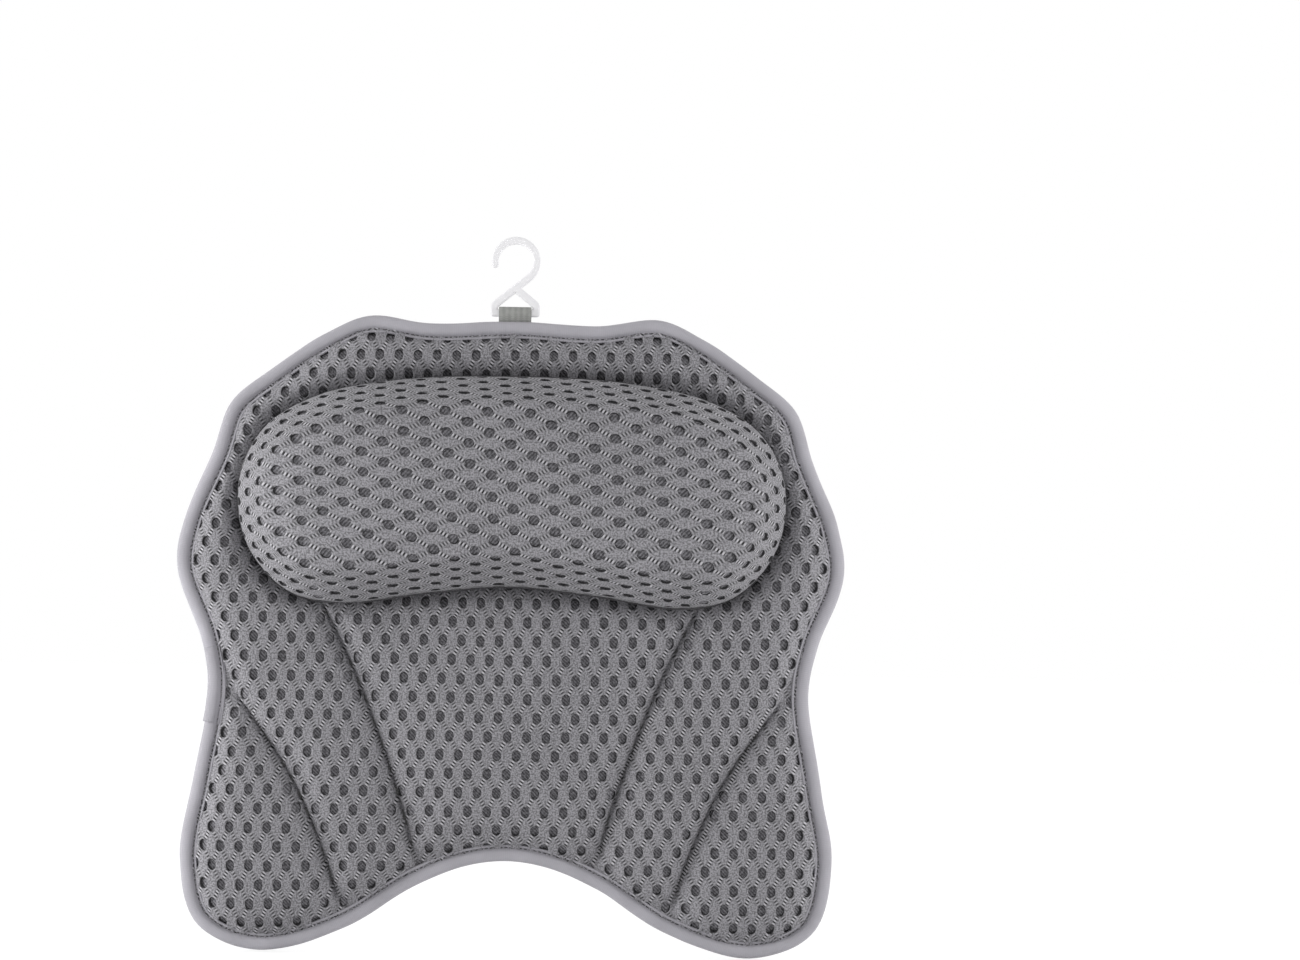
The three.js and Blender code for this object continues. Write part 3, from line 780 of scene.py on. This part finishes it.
def keep_cells(bm, chosen):
    """Deletes the cells whose middles aren't chosen, and what hangs loose after that."""
    middles = np.array([face.calc_center_median().xz for face in bm.faces])
    doomed = [face for face, keep in zip(bm.faces[:], chosen(middles)) if not keep]
    bmesh.ops.delete(bm, geom=doomed, context="FACES")


def hole_edge(offset, half_size, turned):
    """The point of a hole's oval edge that faces a point of its diamond."""
    wide, tall = (1, 0.5) if turned else (0.5, 1)
    x, z = offset.x / wide, offset.z / tall
    turn = math.radians(90) * abs(z) / (abs(x) + abs(z))
    edge_x = math.copysign(half_size[0] * math.cos(turn), x)
    edge_z = math.copysign(half_size[1] * math.sin(turn), z)
    return Vector((edge_x, 0, edge_z))


def draw_holes(bm, half_size, open_at, turned=False):
    """Insets every cell into web, lip and hole, and marks the holes that open_at answers yes for."""
    stand_off = bm.verts.layers.float.new("stand_off")
    bmesh.ops.bisect_edges(bm, edges=bm.edges[:], cuts=EDGE_CUTS)
    cells = bm.faces[:]
    middles = [cell.calc_center_median() for cell in cells]
    corners = [[v.co.copy() for v in cell.verts] for cell in cells]
    for reach, swollen, lift in HOLE_INSETS:
        bmesh.ops.inset_individual(bm, faces=cells, thickness=1e-4)
        for cell, middle, ring in zip(cells, middles, corners):
            for v, corner in zip(cell.verts, ring):
                offset = corner - middle
                v.co = middle + offset.lerp(hole_edge(offset, half_size, turned) * swollen, reach)
                v[stand_off] = lift
    for cell, pierced in zip(cells, open_at(np.array([middle.xz for middle in middles]))):
        cell.material_index = int(pierced)


def map_flat(bm, first_hole, turned=False):
    """The UV map that counts hole spacings along and across the rows."""
    flat = bm.loops.layers.uv.new("flat")
    for face in bm.faces:
        for loop in face.loops:
            offset = (loop.vert.co - Vector(first_hole)) / HOLE_PITCH
            loop[flat].uv = (offset.z, -offset.x) if turned else (offset.x, offset.z)


def wander(bm):
    """Pulls the flat cloth about a little, as handling and sewing do, so its rows aren't ruled straight."""
    noise.seed_set(WANDER_SEED)
    for v in bm.verts:
        pull = noise.noise_vector(Vector((v.co.x, 0.3, v.co.z)) * 11)
        v.co += Vector((pull.x, 0, pull.z)) * WANDER


print("cloth tools ready")

# %% [markdown]
# A sewn channel is a sharp crease, but the cells don't line up with it. Cutting the cells along the seam
# with bisect_plane, stretch by stretch, puts an edge exactly where the needle went. The cloth is flattened
# there, so the holes beside a seam are shallower.

# %% Crease, lay and pierce the cloth
SEAM_SHALLOWS = 0.009
SHALLOWEST = 0.25
SLIVER = 2e-5
MERGED = 1e-6


def crease_along(bm, line):
    """Cuts the cells that a line crosses, so that edges run along it."""
    cells = bm.faces[:]
    middles = np.array([cell.calc_center_median().xz for cell in cells])
    _, distance, stretch = nearest_on(line, middles, False)
    for number, (start, end) in enumerate(zip(line, line[1:])):
        near = [cells[k] for k in np.flatnonzero((stretch == number) & (distance < HOLE_PITCH))]
        near = [cell for cell in near if cell.is_valid]
        rims = dict.fromkeys(part for cell in near for part in (*cell.verts, *cell.edges))
        square = Vector((end[1] - start[1], 0, start[0] - end[0]))
        bmesh.ops.bisect_plane(bm, geom=[*near, *rims], dist=MERGED, plane_no=square,
                               plane_co=Vector((start[0], 0, start[1])))


def beside(line, distance):
    """An open line moved sideways, square to itself."""
    run = np.gradient(line, axis=0)
    run /= np.linalg.norm(run, axis=1, keepdims=True)
    return line + distance * np.column_stack([run[:, 1], -run[:, 0]])


def lay_on(bm, surface):
    """Moves the flat cloth onto a surface, which answers a place and a direction for each flat point."""
    stand_off = bm.verts.layers.float["stand_off"]
    places, directions = surface(np.array([v.co.xz for v in bm.verts]))
    for v, place, direction in zip(bm.verts, places, directions):
        v.co = Vector(place) + Vector(direction) * v[stand_off]
    bmesh.ops.dissolve_degenerate(bm, edges=bm.edges[:], dist=SLIVER)
    bm.normal_update()


def flat_size(bm):
    """Width, length and area of the flat cloth. A cell is as large as a square of the hole pitch."""
    places = np.array([v.co.xz for v in bm.verts])
    width, length = (places.max(0) - places.min(0)).tolist()
    return (width, length), len(bm.faces) * HOLE_PITCH**2


def push_in_holes(bm, depth):
    """Sinks each hole's face along its own direction, less beside a seam, which gives it walls and a floor."""
    holes = [face for face in bm.faces if face.material_index == 1]
    floors = bmesh.ops.extrude_discrete_faces(bm, faces=holes)["faces"]
    from_seam = from_channels(np.array([face.calc_center_median().xz for face in floors]))
    depths = dict(zip(floors, depth * np.clip(from_seam / SEAM_SHALLOWS, SHALLOWEST, 1)))
    for face in bm.faces:
        face.smooth = face not in depths
        if face.material_index and face.smooth:
            face.material_index = 2
    for face, deep in depths.items():
        sink = face.normal * deep
        for v in face.verts:
            v.co -= sink
    return len(floors)


def mesh_sheet(name, bm, solid, flat, area):
    """A finished piece of mesh that stands for a solid; prints the size and area of the flat cloth it was cut
    from.
    """
    sheet = piece(name, bm, MESH_FINISHES, replaces=[solid])
    print(name, "cut from", np.round(flat, 3), "m, area", round(area, 4), "m2")


print("sewing tools ready")

# %% [markdown]
# ## The panel's face
# The front cloth covers the whole panel except under the headrest, where nothing would ever be seen. Its
# rows lie level. Near the edge it is tucked into the binding: whatever sticks out past the seam allowance
# is drawn back to it, out of sight under the tape.

# %% Panel face cloth
FACE_FIRST_HOLE = (0.0, 0.0, -0.0145)
FACE_HOLE = (0.0027, 0.0034)
HOLE_DEPTH = 0.0021
PANEL_REACH = 0.215
CUT_ALLOWANCE = 0.002
TUCK = 0.0018
TAPE_HIDES = 0.0065
REST_HIDES = 0.016
SEAM_CLEAR = 0.0034
PIN_START = 0.3
MOST_CLOTH = 1.5

tuck = drawn_in(panel, TUCK)
taped = drawn_in(panel, TAPE_HIDES)
cut_line = drawn_in(panel, -CUT_ALLOWANCE)
under_headrest = drawn_in(headrest, REST_HIDES)


def clear_of_tape(middles):
    return inside(taped, middles)


def clear_of_seams(middles):
    return clear_of_tape(middles) & (from_channels(middles) > SEAM_CLEAR)


def tucked(points):
    """The points, with those past the seam allowance drawn back to it."""
    return np.where(inside(tuck, points)[:, None], points, nearest_on(tuck, points)[0])


def on_pad(points):
    """Places and directions on the swollen pad, folded in along the channels."""
    spots = tucked(points)
    under_tape = nearest_on(panel, spots)[1] < TAPE_WIDTH
    places, directions = [], []
    for (x, z), deep, flat in zip(spots, fold(spots), under_tape):
        hit, normal, _, _ = pad_tree.ray_cast(Vector((x, -PIN_START, z)), Vector((0, 1, 0)))
        if flat or hit is None:
            hit, normal = Vector((x, -foam_edge, z)), Vector((0, -1, 0))
        out = -hit.y + CLOTH * min(1 / max(-normal.y, 0.01), MOST_CLOTH)
        places.append(Vector((x, -max(out - deep, min(out, fold_floor)), z)))
        directions.append(normal)
    return places, directions


def face_cells(middles):
    return inside(cut_line, middles) & ~inside(under_headrest, middles)


bm = diamond_cloth(FACE_FIRST_HOLE, PANEL_REACH)
keep_cells(bm, face_cells)
face_flat, face_area = flat_size(bm)
draw_holes(bm, FACE_HOLE, clear_of_seams)
map_flat(bm, FACE_FIRST_HOLE)
wander(bm)
for line in channels:
    for side in (-SLIT_HALF, 0, SLIT_HALF):
        crease_along(bm, beside(line, side))
lay_on(bm, on_pad)
print(push_in_holes(bm, HOLE_DEPTH), "holes in the face")
mesh_sheet("panel_face", bm, "face_mesh", face_flat, face_area)

# %% [markdown]
# ## Headrest
# The headrest is a firm bean-shaped bolster. Its stuffing starts from a copy of the solid core: merged,
# rebuilt from even voxels so that cloth can move, and smoothed. A hand-filled bolster is slack in its
# flanks and lower at its ends, so it is drawn in there before it is swollen with its foot held down.

# %% Headrest stuffing
VOXEL = 0.005
SMOOTHINGS = 6
SHOULDER_FULL = 0.001
FLANK_SLACK = 0.006
SLACK_HEIGHT = 0.02
LOWER_ENDS = 0.25
ENDS_FROM = 0.08
ENDS_REACH = 0.085
REST_SWELL = 0.003


def towards_ends(x):
    """0 along the middle of the headrest, rising to 1 at its left and right ends."""
    return np.clip((np.abs(x) - ENDS_FROM) / ENDS_REACH, 0, 1) ** 2


bm = bmesh.new()
bm.from_mesh(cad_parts["headrest_core"].data)
bmesh.ops.remove_doubles(bm, verts=bm.verts, dist=TOUCH)
stuffing = to_object("headrest_stuffing", bm, [foam])
core_mesh = stuffing.data
remesh = stuffing.modifiers.new("even_voxels", "REMESH")
remesh.mode = "VOXEL"
remesh.voxel_size = VOXEL
even = bpy.data.meshes.new_from_object(stuffing.evaluated_get(bpy.context.evaluated_depsgraph_get()))
stuffing.modifiers.remove(remesh)
bm = bmesh.new()
bm.from_mesh(even)
loose = [v for v in bm.verts if -v.co.y > headrest_base + VOXEL]
for _ in range(SMOOTHINGS):
    bmesh.ops.smooth_vert(bm, verts=loose, factor=0.5, use_axis_x=True, use_axis_y=True, use_axis_z=True)
settle_order(bm)
bm.to_mesh(core_mesh)
bm.free()
core_points = np.array([v.co for v in core_mesh.vertices])
core_normals = np.array([v.normal for v in core_mesh.vertices])
sideways = np.linalg.norm(core_normals[:, [0, 2]], axis=1)
above_base = np.maximum(-core_points[:, 1] - headrest_base, 0)
fullness = SHOULDER_FULL * 4 * sideways**2 * core_normals[:, 1] ** 2 - FLANK_SLACK * sideways**2
core_points += core_normals * (fullness * np.clip(above_base / SLACK_HEIGHT, 0, 1))[:, None]
core_points[:, 1] += above_base * LOWER_ENDS * towards_ends(core_points[:, 0])
core_mesh.vertices.foreach_set("co", core_points.ravel())
core_mesh.update()
swell(stuffing, -core_points[:, 1] < headrest_base + VOXEL, REST_SWELL)
core_tree = smooth_tree(stuffing, 1)
dressed(stuffing, replaces=["headrest_core"])

# %% [markdown]
# The cover is the same cloth turned a quarter turn. Cloth doesn't stretch to go round an edge, it runs on
# down the side, so the flat sheet is wrapped by length: past the shoulder of the dome, a point's distance
# is walked off along the curve of the flank, faster at the ends, where the cloth is pulled tighter. That is
# what makes the holes look narrower and closer towards the seam. The foot of the cover follows the sewn
# line, and its hem is turned under.

# %% The curve of the flank
FLANK_WIDTH = 0.021
FLANK_HEIGHT = 0.044
FLANK_BOW = 1.3
FLANK_LEAN = math.radians(20)
FOOT_TURN = math.radians(76)
FOOT_INSET = 0.0028
END_PULL = 0.7

skirt = foam_crown - VALLEY_DIP - REST_FOLD + CLOTH
shoulder = drawn_in(headrest, FOOT_INSET + FLANK_WIDTH)
flank_turns = np.radians(np.linspace(0, 90, 91))
flank_out = FLANK_WIDTH * np.diff(np.sin(flank_turns) ** (2 / FLANK_BOW))
flank_down = FLANK_HEIGHT * np.diff(np.maximum(np.cos(flank_turns), 0) ** (2 / FLANK_BOW))
walked = np.concatenate([[0], np.cumsum(np.hypot(flank_out, flank_down))])
foot_walk = float(np.interp(FOOT_TURN, flank_turns, walked))
foot_height = headrest_base + FLANK_HEIGHT * math.cos(FOOT_TURN) ** (2 / FLANK_BOW)
hem_walk = foot_walk + foot_height - skirt
print("flank", round(foot_walk * 1000, 1), "mm to the foot,", round(hem_walk * 1000, 1), "mm to the hem")

# %% [markdown]
# Each point of the flat cover finds its place by a pin pushed into the stuffing, which leans further out
# down the flank, and that place is blended into the foot line towards the seam.

# %% Headrest cover
COVER = 0.0033
COVER_REACH = 0.24
COVER_FIRST_HOLE = (0.0, 0.0, 0.0888)
COVER_HOLE = (0.003, 0.0027)
COVER_HOLE_DEPTH = 0.0015
COVER_PULL = np.array(((1.08, -0.089), (-0.018, 1.033)))
COVER_PIN = 0.03
BLEND_FROM = 0.05
BLEND_REACH = 0.75
PLAIN_HEM = 0.004


def skewed(points):
    """Points of the cover, which was sewn on a little stretched and askew."""
    middle = np.array((COVER_FIRST_HOLE[0], COVER_FIRST_HOLE[2]))
    return middle + (points - middle) @ COVER_PULL.T


def down_flank(points):
    """The nearest point of the shoulder, the way outwards, and the length walked down the flank from there."""
    feet, past, _ = nearest_on(shoulder, points)
    past = np.where(inside(shoulder, points), 0, past)
    outward = (points - feet) / np.maximum(past, 1e-9)[:, None] * (past > 0)[:, None]
    return feet, outward, past * (1 + END_PULL * towards_ends(feet[:, 0]))


def round_dome(points):
    """Places and directions on the swollen headrest for points of the flat cover."""
    points = skewed(points)
    feet, outward, past = down_flank(points)
    turn = np.interp(np.minimum(past, foot_walk), walked, flank_turns)
    below_foot = np.clip((past - foot_walk) / (hem_walk - foot_walk), 0, 1)
    run = np.sin(turn) ** (2 / FLANK_BOW)
    rise = np.cos(turn) ** (2 / FLANK_BOW)
    flat_place = np.where((past > 0)[:, None], feet + outward * (FLANK_WIDTH * run)[:, None], points)
    height = headrest_base + FLANK_HEIGHT * rise * (1 - LOWER_ENDS * towards_ends(flat_place[:, 0]))
    lean = np.column_stack([outward * np.sin(FLANK_LEAN * run**2)[:, None], np.cos(FLANK_LEAN * run**2)])
    foot_reach = (FLANK_WIDTH + FOOT_INSET) * (run + (1 - run) * below_foot)
    foot_place = feet + outward * (foot_reach - np.clip(past - hem_walk, 0, HOLE_PITCH))[:, None]
    near_foot = np.clip((run - BLEND_FROM) / BLEND_REACH, 0, 1)
    near_foot *= near_foot * (3 - 2 * near_foot)
    places, directions = [], []
    spots = zip(flat_place, height, lean, foot_place, near_foot, below_foot)
    for at, h, (lx, lz, front), foot, near, low in spots:
        direction = Vector((lx, -front, lz))
        start = Vector((at[0], -h, at[1]))
        hit, normal, _, _ = core_tree.ray_cast(start + direction * COVER_PIN, -direction, 2 * COVER_PIN)
        place = hit + normal * COVER if hit else start
        place.y = min(place.y, -h)
        place = place.lerp(Vector((foot[0], -h, foot[1])), near)
        place.y = (1 - low) * place.y - low * skirt
        places.append(place)
        directions.append(normal if hit else direction)
    return places, directions


def on_cover(middles, spare=HOLE_PITCH):
    return down_flank(skewed(middles))[2] < hem_walk + spare


def above_hem(middles):
    return on_cover(middles, -PLAIN_HEM)


bm = diamond_cloth(COVER_FIRST_HOLE, COVER_REACH, turned=True)
keep_cells(bm, on_cover)
cover_flat, cover_area = flat_size(bm)
draw_holes(bm, COVER_HOLE, above_hem, turned=True)
map_flat(bm, COVER_FIRST_HOLE, turned=True)
wander(bm)
lay_on(bm, round_dome)
print(push_in_holes(bm, COVER_HOLE_DEPTH), "holes in the headrest")
mesh_sheet("headrest_skin", bm, "headrest_cover", cover_flat, cover_area)

# %% [markdown]
# ## Strips that follow a line
# Piping, tape and webbing are all strips laid along a line. A grid is the easiest start: one way along the
# line, the other round the section. Each grid point is put in its place, and where the strip meets itself,
# the doubled points are merged. The grid also gives the strip its UV map.


# %% Strips from a grid
def strip(rows, closed, length, girth):
    """A bmesh through rows of points: rows[k][i] is point i of the line on side k of the section."""
    rows = np.array(rows)
    sides, steps = rows.shape[:2]
    bm = bmesh.new()
    spans = steps if closed else steps - 1
    bmesh.ops.create_grid(bm, x_segments=spans, y_segments=sides, size=0.5)
    laid = bm.loops.layers.uv.new("laid")
    for face in bm.faces:
        face.smooth = True
        for loop in face.loops:
            loop[laid].uv = ((loop.vert.co.x + 0.5) * length, (loop.vert.co.y + 0.5) * girth)
    for v in bm.verts:
        step = round((v.co.x + 0.5) * spans)
        side = round((v.co.y + 0.5) * sides)
        v.co = rows[side % sides][step % steps]
    bmesh.ops.remove_doubles(bm, verts=bm.verts, dist=MERGED)
    open_ends = [edge for edge in bm.edges if edge.is_boundary]
    if open_ends:
        bmesh.ops.holes_fill(bm, edges=open_ends, sides=0)
    bmesh.ops.recalc_face_normals(bm, faces=bm.faces)
    return bm


def standing(line, height):
    """Points of the front view at a height above the wall."""
    heights = np.broadcast_to(height, len(line))
    return np.column_stack([line[:, 0], -heights, line[:, 1]])


def length_of(line, closed=True):
    spans = np.roll(line, -1, axis=0) - line if closed else np.diff(line, axis=0)
    return float(np.linalg.norm(spans, axis=1).sum())


print("headrest seam is", round(length_of(headrest), 3), "m long")

# %% [markdown]
# The headrest is sewn down with a corded seam round its foot. In the deep valley only a thin cord of it
# shows, a round section carried along the seam. It takes the dark thread finish as painted shade, for the dark
# crease line.

# %% Headrest piping
WELT = 0.0016
WELT_OUT = 0.0003
WELT_SIDES = 8

welt_line = drawn_in(headrest, -WELT_OUT)
welt_height = skirt + WELT
rows = []
for turn in np.linspace(0, 2 * math.pi, WELT_SIDES, endpoint=False):
    side_line = drawn_in(welt_line, WELT / 2 * math.cos(turn))
    rows.append(standing(side_line, welt_height + WELT / 2 * math.sin(turn)))
bm = strip(rows, True, length_of(headrest), math.pi * WELT)
# The welt's dark thread finish is painted shade along the crease at the headrest's foot.
piece("headrest_welt", bm, [thread], replaces=["headrest_piping"])

# %% [markdown]
# ## Edge binding
# One tape folded over the edge of all the layers. Its section has a slim folded ridge along the inner edge,
# a furrow where the stitching pulls it down, and a soft belly outside.

# %% Edge binding
TAPE_LINING = 1.2
TAPE_MIDDLE = 21.2
TAPE_BELLY = (0.05, 7.5)
TAPE_GIRTH = 0.045
RIPPLE = 0.0004
# inset from the edge and height above the wall, in millimetres
TAPE_SECTION = ((10.8, 24.4), (10.9, 26.0), (10.5, 26.7), (9.9, 26.7), (9.4, 25.8), (8.9, 25.0), (8.2, 25.0),
                (7.7, 25.9), (7.1, 26.8), (5.8, 27.3), (4.0, 27.3), (2.0, 26.8), (0.7, 25.8), (0.1, 24.2),
                (0.0, TAPE_MIDDLE), (0.1, 18.3), (0.7, 16.7), (2.0, 15.8), (4.0, 15.4), (5.8, 15.4),
                (7.1, 15.8), (7.7, 16.4), (8.2, 16.9), (8.9, 16.9), (9.4, 16.4), (9.9, 15.8), (10.5, 15.8),
                (10.9, 16.3), (10.8, 17.1), (TAPE_LINING, 17.1), (TAPE_LINING, 24.4))


def tape_rows(line, grow=0.0):
    """Rows of points along the tape, with its soft belly rippled and grown outwards."""
    rows = []
    for inset, height in TAPE_SECTION:
        belly = TAPE_BELLY[0] < inset < TAPE_BELLY[1] and inset != TAPE_LINING
        waves = np.array([noise.noise(Vector((x * 45, height * 0.08, z * 45))) for x, z in line])
        out = grow if height > TAPE_MIDDLE else -grow
        side_line = drawn_in(line, inset / 1000 - grow + waves * RIPPLE * belly)
        rows.append(standing(side_line, height / 1000 + out * belly))
    return rows


bm = strip(tape_rows(panel), True, length_of(panel), TAPE_GIRTH)
piece("edge_tape", bm, [tape_cloth], replaces=["edge_binding"])

# %% [markdown]
# The two ends of the tape meet low on the left side, where one end laps over the other. The lap has the
# same section, grown by the thickness of the tape at its end and thinning out to nothing further on.

# %% Where the tape ends overlap
LAP_END = (-0.189, -0.056)
LAP_STEPS = 14
TAPE_THICKNESS = 0.0011

first = int(np.linalg.norm(panel - np.array(LAP_END), axis=1).argmin())
lower_rows = np.array(tape_rows(panel))[:, first:first + LAP_STEPS]
upper_rows = np.array(tape_rows(panel, TAPE_THICKNESS))[:, first:first + LAP_STEPS]
fade = np.linspace(1, 0, LAP_STEPS)[None, :, None]
lap_length = LAP_STEPS * length_of(panel) / len(panel)
bm = strip(lower_rows + (upper_rows - lower_rows) * fade, False, lap_length, TAPE_GIRTH)
piece("tape_lap", bm, [tape_cloth])

# %% [markdown]
# ## Stitches
# A lockstitch shows as a row of short thread bars. Each is a small squashed sphere with few faces, because
# there are hundreds of them.

# %% Stitch rows
TAPE_SEAM = 0.00855
TAPE_STITCH = (0.00125, 0.0004, 0.0004)
TAPE_STITCH_PITCH = 0.003


def sew(bm, line, height, pitch, size, front=True):
    """Adds a row of stitches along a closed line at a height above the wall."""
    steps = round(length_of(line) / pitch)
    spots = evenly(line, steps, True)
    ahead = np.roll(spots, -1, axis=0) - np.roll(spots, 1, axis=0)
    for (x, z), (dx, dz) in zip(spots, ahead):
        run = Vector((dx, 0, dz)).normalized()
        out = Vector((0, -1 if front else 1, 0))
        frame_axes = Matrix((run * size[0], run.cross(out) * size[1], out * size[2])).transposed().to_4x4()
        place = Matrix.Translation((x, -height, z)) @ frame_axes
        bmesh.ops.create_icosphere(bm, subdivisions=1, radius=1, matrix=place)


bm = bmesh.new()
seam_line = drawn_in(panel, TAPE_SEAM)
sew(bm, seam_line, 0.0252, TAPE_STITCH_PITCH, TAPE_STITCH)
sew(bm, seam_line, 0.0167, TAPE_STITCH_PITCH, TAPE_STITCH, front=False)
for face in bm.faces:
    face.smooth = True
piece("tape_stitches", bm, [thread])

# %% [markdown]
# ## The back
# Behind, the panel is closed with a flat sheet of the same mesh, with no cloth where a cup's neck goes
# through.

# %% Back cloth
EYELET = 0.009
BACK_HOLE_DEPTH = 0.0014
cup_names = [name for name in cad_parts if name.startswith("suction_cup_")]
cup_axes = {name: (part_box(name)[0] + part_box(name)[1]) / 2 for name in cup_names}


def on_back(points):
    """Places on the flat back of the panel, and the way out of it."""
    return standing(tucked(points), rear_back), np.tile((0.0, 1.0, 0.0), (len(points), 1))


def back_cells(middles):
    from_cups = [np.hypot(middles[:, 0] - at.x, middles[:, 1] - at.z) for at in cup_axes.values()]
    return inside(cut_line, middles) & (np.min(from_cups, axis=0) > EYELET)


bm = diamond_cloth(FACE_FIRST_HOLE, PANEL_REACH, rear=True)
keep_cells(bm, back_cells)
back_flat, back_area = flat_size(bm)
draw_holes(bm, FACE_HOLE, clear_of_tape)
map_flat(bm, FACE_FIRST_HOLE)
lay_on(bm, on_back)
print(push_in_holes(bm, BACK_HOLE_DEPTH), "holes in the back")
mesh_sheet("panel_back", bm, "rear_mesh", back_flat, back_area)

# %% [markdown]
# ## Hanging loop
# A piece of ribbed webbing goes round the hook's bar, and both its ends are sewn in under the edge tape.
# Its path is drawn in the side view, a tear drop round the bar, and the strip follows it.

# %% Webbing loop
LOOP_EYE = 0.00335
LOOP_LEG = 0.0006
LOOP_HALF_WIDTH = 0.010
LOOP_HALF_THICKNESS = 0.0005
LOOP_GIRTH = 0.042
# the webbing's section, in half widths and half thicknesses
LOOP_SECTION = ((-1, -0.6), (-0.96, -1), (0, -1), (0.96, -1), (1, -0.6),
                (1, 0.6), (0.96, 1), (0, 1), (-0.96, 1), (-1, 0.6))

loop_low, loop_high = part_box("hanging_loop")
bar_height = loop_high.z - LOOP_EYE - LOOP_HALF_THICKNESS
bar_out = -(loop_low.y + loop_high.y) / 2
knots = [(-LOOP_LEG, loop_low.z), (-LOOP_LEG, bar_height - 0.009), (-0.0011, bar_height - 0.0055)]
for turn in np.radians((-25, 20, 65)):
    knots.append((-LOOP_EYE * math.cos(turn), bar_height + LOOP_EYE * math.sin(turn)))
path = smooth_line([*knots, *((-y, z) for y, z in reversed(knots))], False)
ahead = np.gradient(path, axis=0)
ahead /= np.linalg.norm(ahead, axis=1, keepdims=True)
sides = np.column_stack([-ahead[:, 1], ahead[:, 0]])
rows = []
for x, off in LOOP_SECTION:
    laid_path = path + sides * off * LOOP_HALF_THICKNESS
    widths = np.full(len(path), x * LOOP_HALF_WIDTH)
    rows.append(np.column_stack([widths, -bar_out + laid_path[:, 0], laid_path[:, 1]]))
loop_length = length_of(path, closed=False)
bm = strip(rows, False, loop_length, LOOP_GIRTH)
piece("webbing_loop", bm, [webbing], replaces=["hanging_loop"])
print("loop strip", round(loop_length * 1000, 1), "mm long")

# %% [markdown]
# ## Turned pieces
# The round patches and the suction cups are turned shapes: draw half a section, spin it once round its
# axis, and merge where the ends meet.

# %% Spin a section
SPIN_STEPS = 64
PATCH_SEAM = 0.0153
PATCH_SEAM_HEIGHT = 0.0152
PATCH_STITCH = (0.0011, 0.0003, 0.0003)
PATCH_STITCH_PITCH = 0.0028
# radius and height above the wall, in millimetres
PATCH_SECTION = ((4.3, 15.5), (4.6, 15.2), (8, 15.0), (14.8, 15.0), (15.3, 15.3), (15.8, 15.1), (16.6, 15.2),
                 (17.0, 15.7), (17.0, 16.4), (16.6, 16.8), (4.5, 16.8), (4.3, 16.6), (4.3, 15.5))


def spun(section, centre):
    """A closed round body from a section in millimetres, about a line through centre."""
    bm = bmesh.new()
    chain = [bm.verts.new((centre.x + r / 1000, -h / 1000, centre.z)) for r, h in section]
    edges = [bm.edges.new(pair) for pair in zip(chain, chain[1:])]
    bmesh.ops.spin(bm, geom=[*chain, *edges], cent=(centre.x, 0, centre.z), axis=(0, 1, 0), angle=2 * math.pi,
                   steps=SPIN_STEPS, use_merge=True)
    bmesh.ops.remove_doubles(bm, verts=bm.verts, dist=MERGED)
    bmesh.ops.recalc_face_normals(bm, faces=bm.faces)
    for face in bm.faces:
        face.smooth = True
    return bm


ring_turns = np.radians(range(0, 360, 6))
seam_ring = PATCH_SEAM * np.column_stack([np.cos(ring_turns), np.sin(ring_turns)])
for name, centre in cup_axes.items():
    bm = spun(PATCH_SECTION, centre)
    sew(bm, seam_ring + np.array(centre.xz), PATCH_SEAM_HEIGHT, PATCH_STITCH_PITCH, PATCH_STITCH, front=False)
    piece(name.replace("suction_cup", "patch"), bm, [patch_cloth],
          replaces=[name.replace("suction_cup", "eyelet_patch")])

# %% [markdown]
# A suction cup is a thin bell with a neck. The neck goes through the patch and the back cloth and ends in a
# button, which keeps it there. Its section runs inside the bell out to the lip, back over the outside and
# up the neck, whose shoulder stays a hair clear of the patch so that the cup can turn.

# %% Suction cups
CUP_LIP = ((27, 0), (29.7, 0), (30, 0.3))
CUP_NECK = ((8.6, 14.4), (8, 14.9), (4, 14.9), (4, 19.6), (7.7, 19.6), (8, 20), (8, 21.3), (7, 22.5), (4, 23.6),
            (0, 23.6))

inner_bell = smooth_line([(0, 10.2), (9, 9.2), (19.5, 5.1), (26.5, 0.1)], False)
outer_bell = smooth_line([(30, 1), (20.7, 7.5), (12.5, 11.4), (9, 12.6)], False)
for name, centre in cup_axes.items():
    bm = spun([*inner_bell, *CUP_LIP, *outer_bell, *CUP_NECK], centre)
    piece(name.replace("suction_cup", "cup"), bm, [clear_vinyl],
          body=name.replace("suction_", ""), replaces=[name])

# %% [markdown]
# ## Hook
# The moulded hook is already true in its solid, so it only needs its plastic.

# %% Hook plastic
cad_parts["hanging_hook"].material_slots[0].material = white_plastic
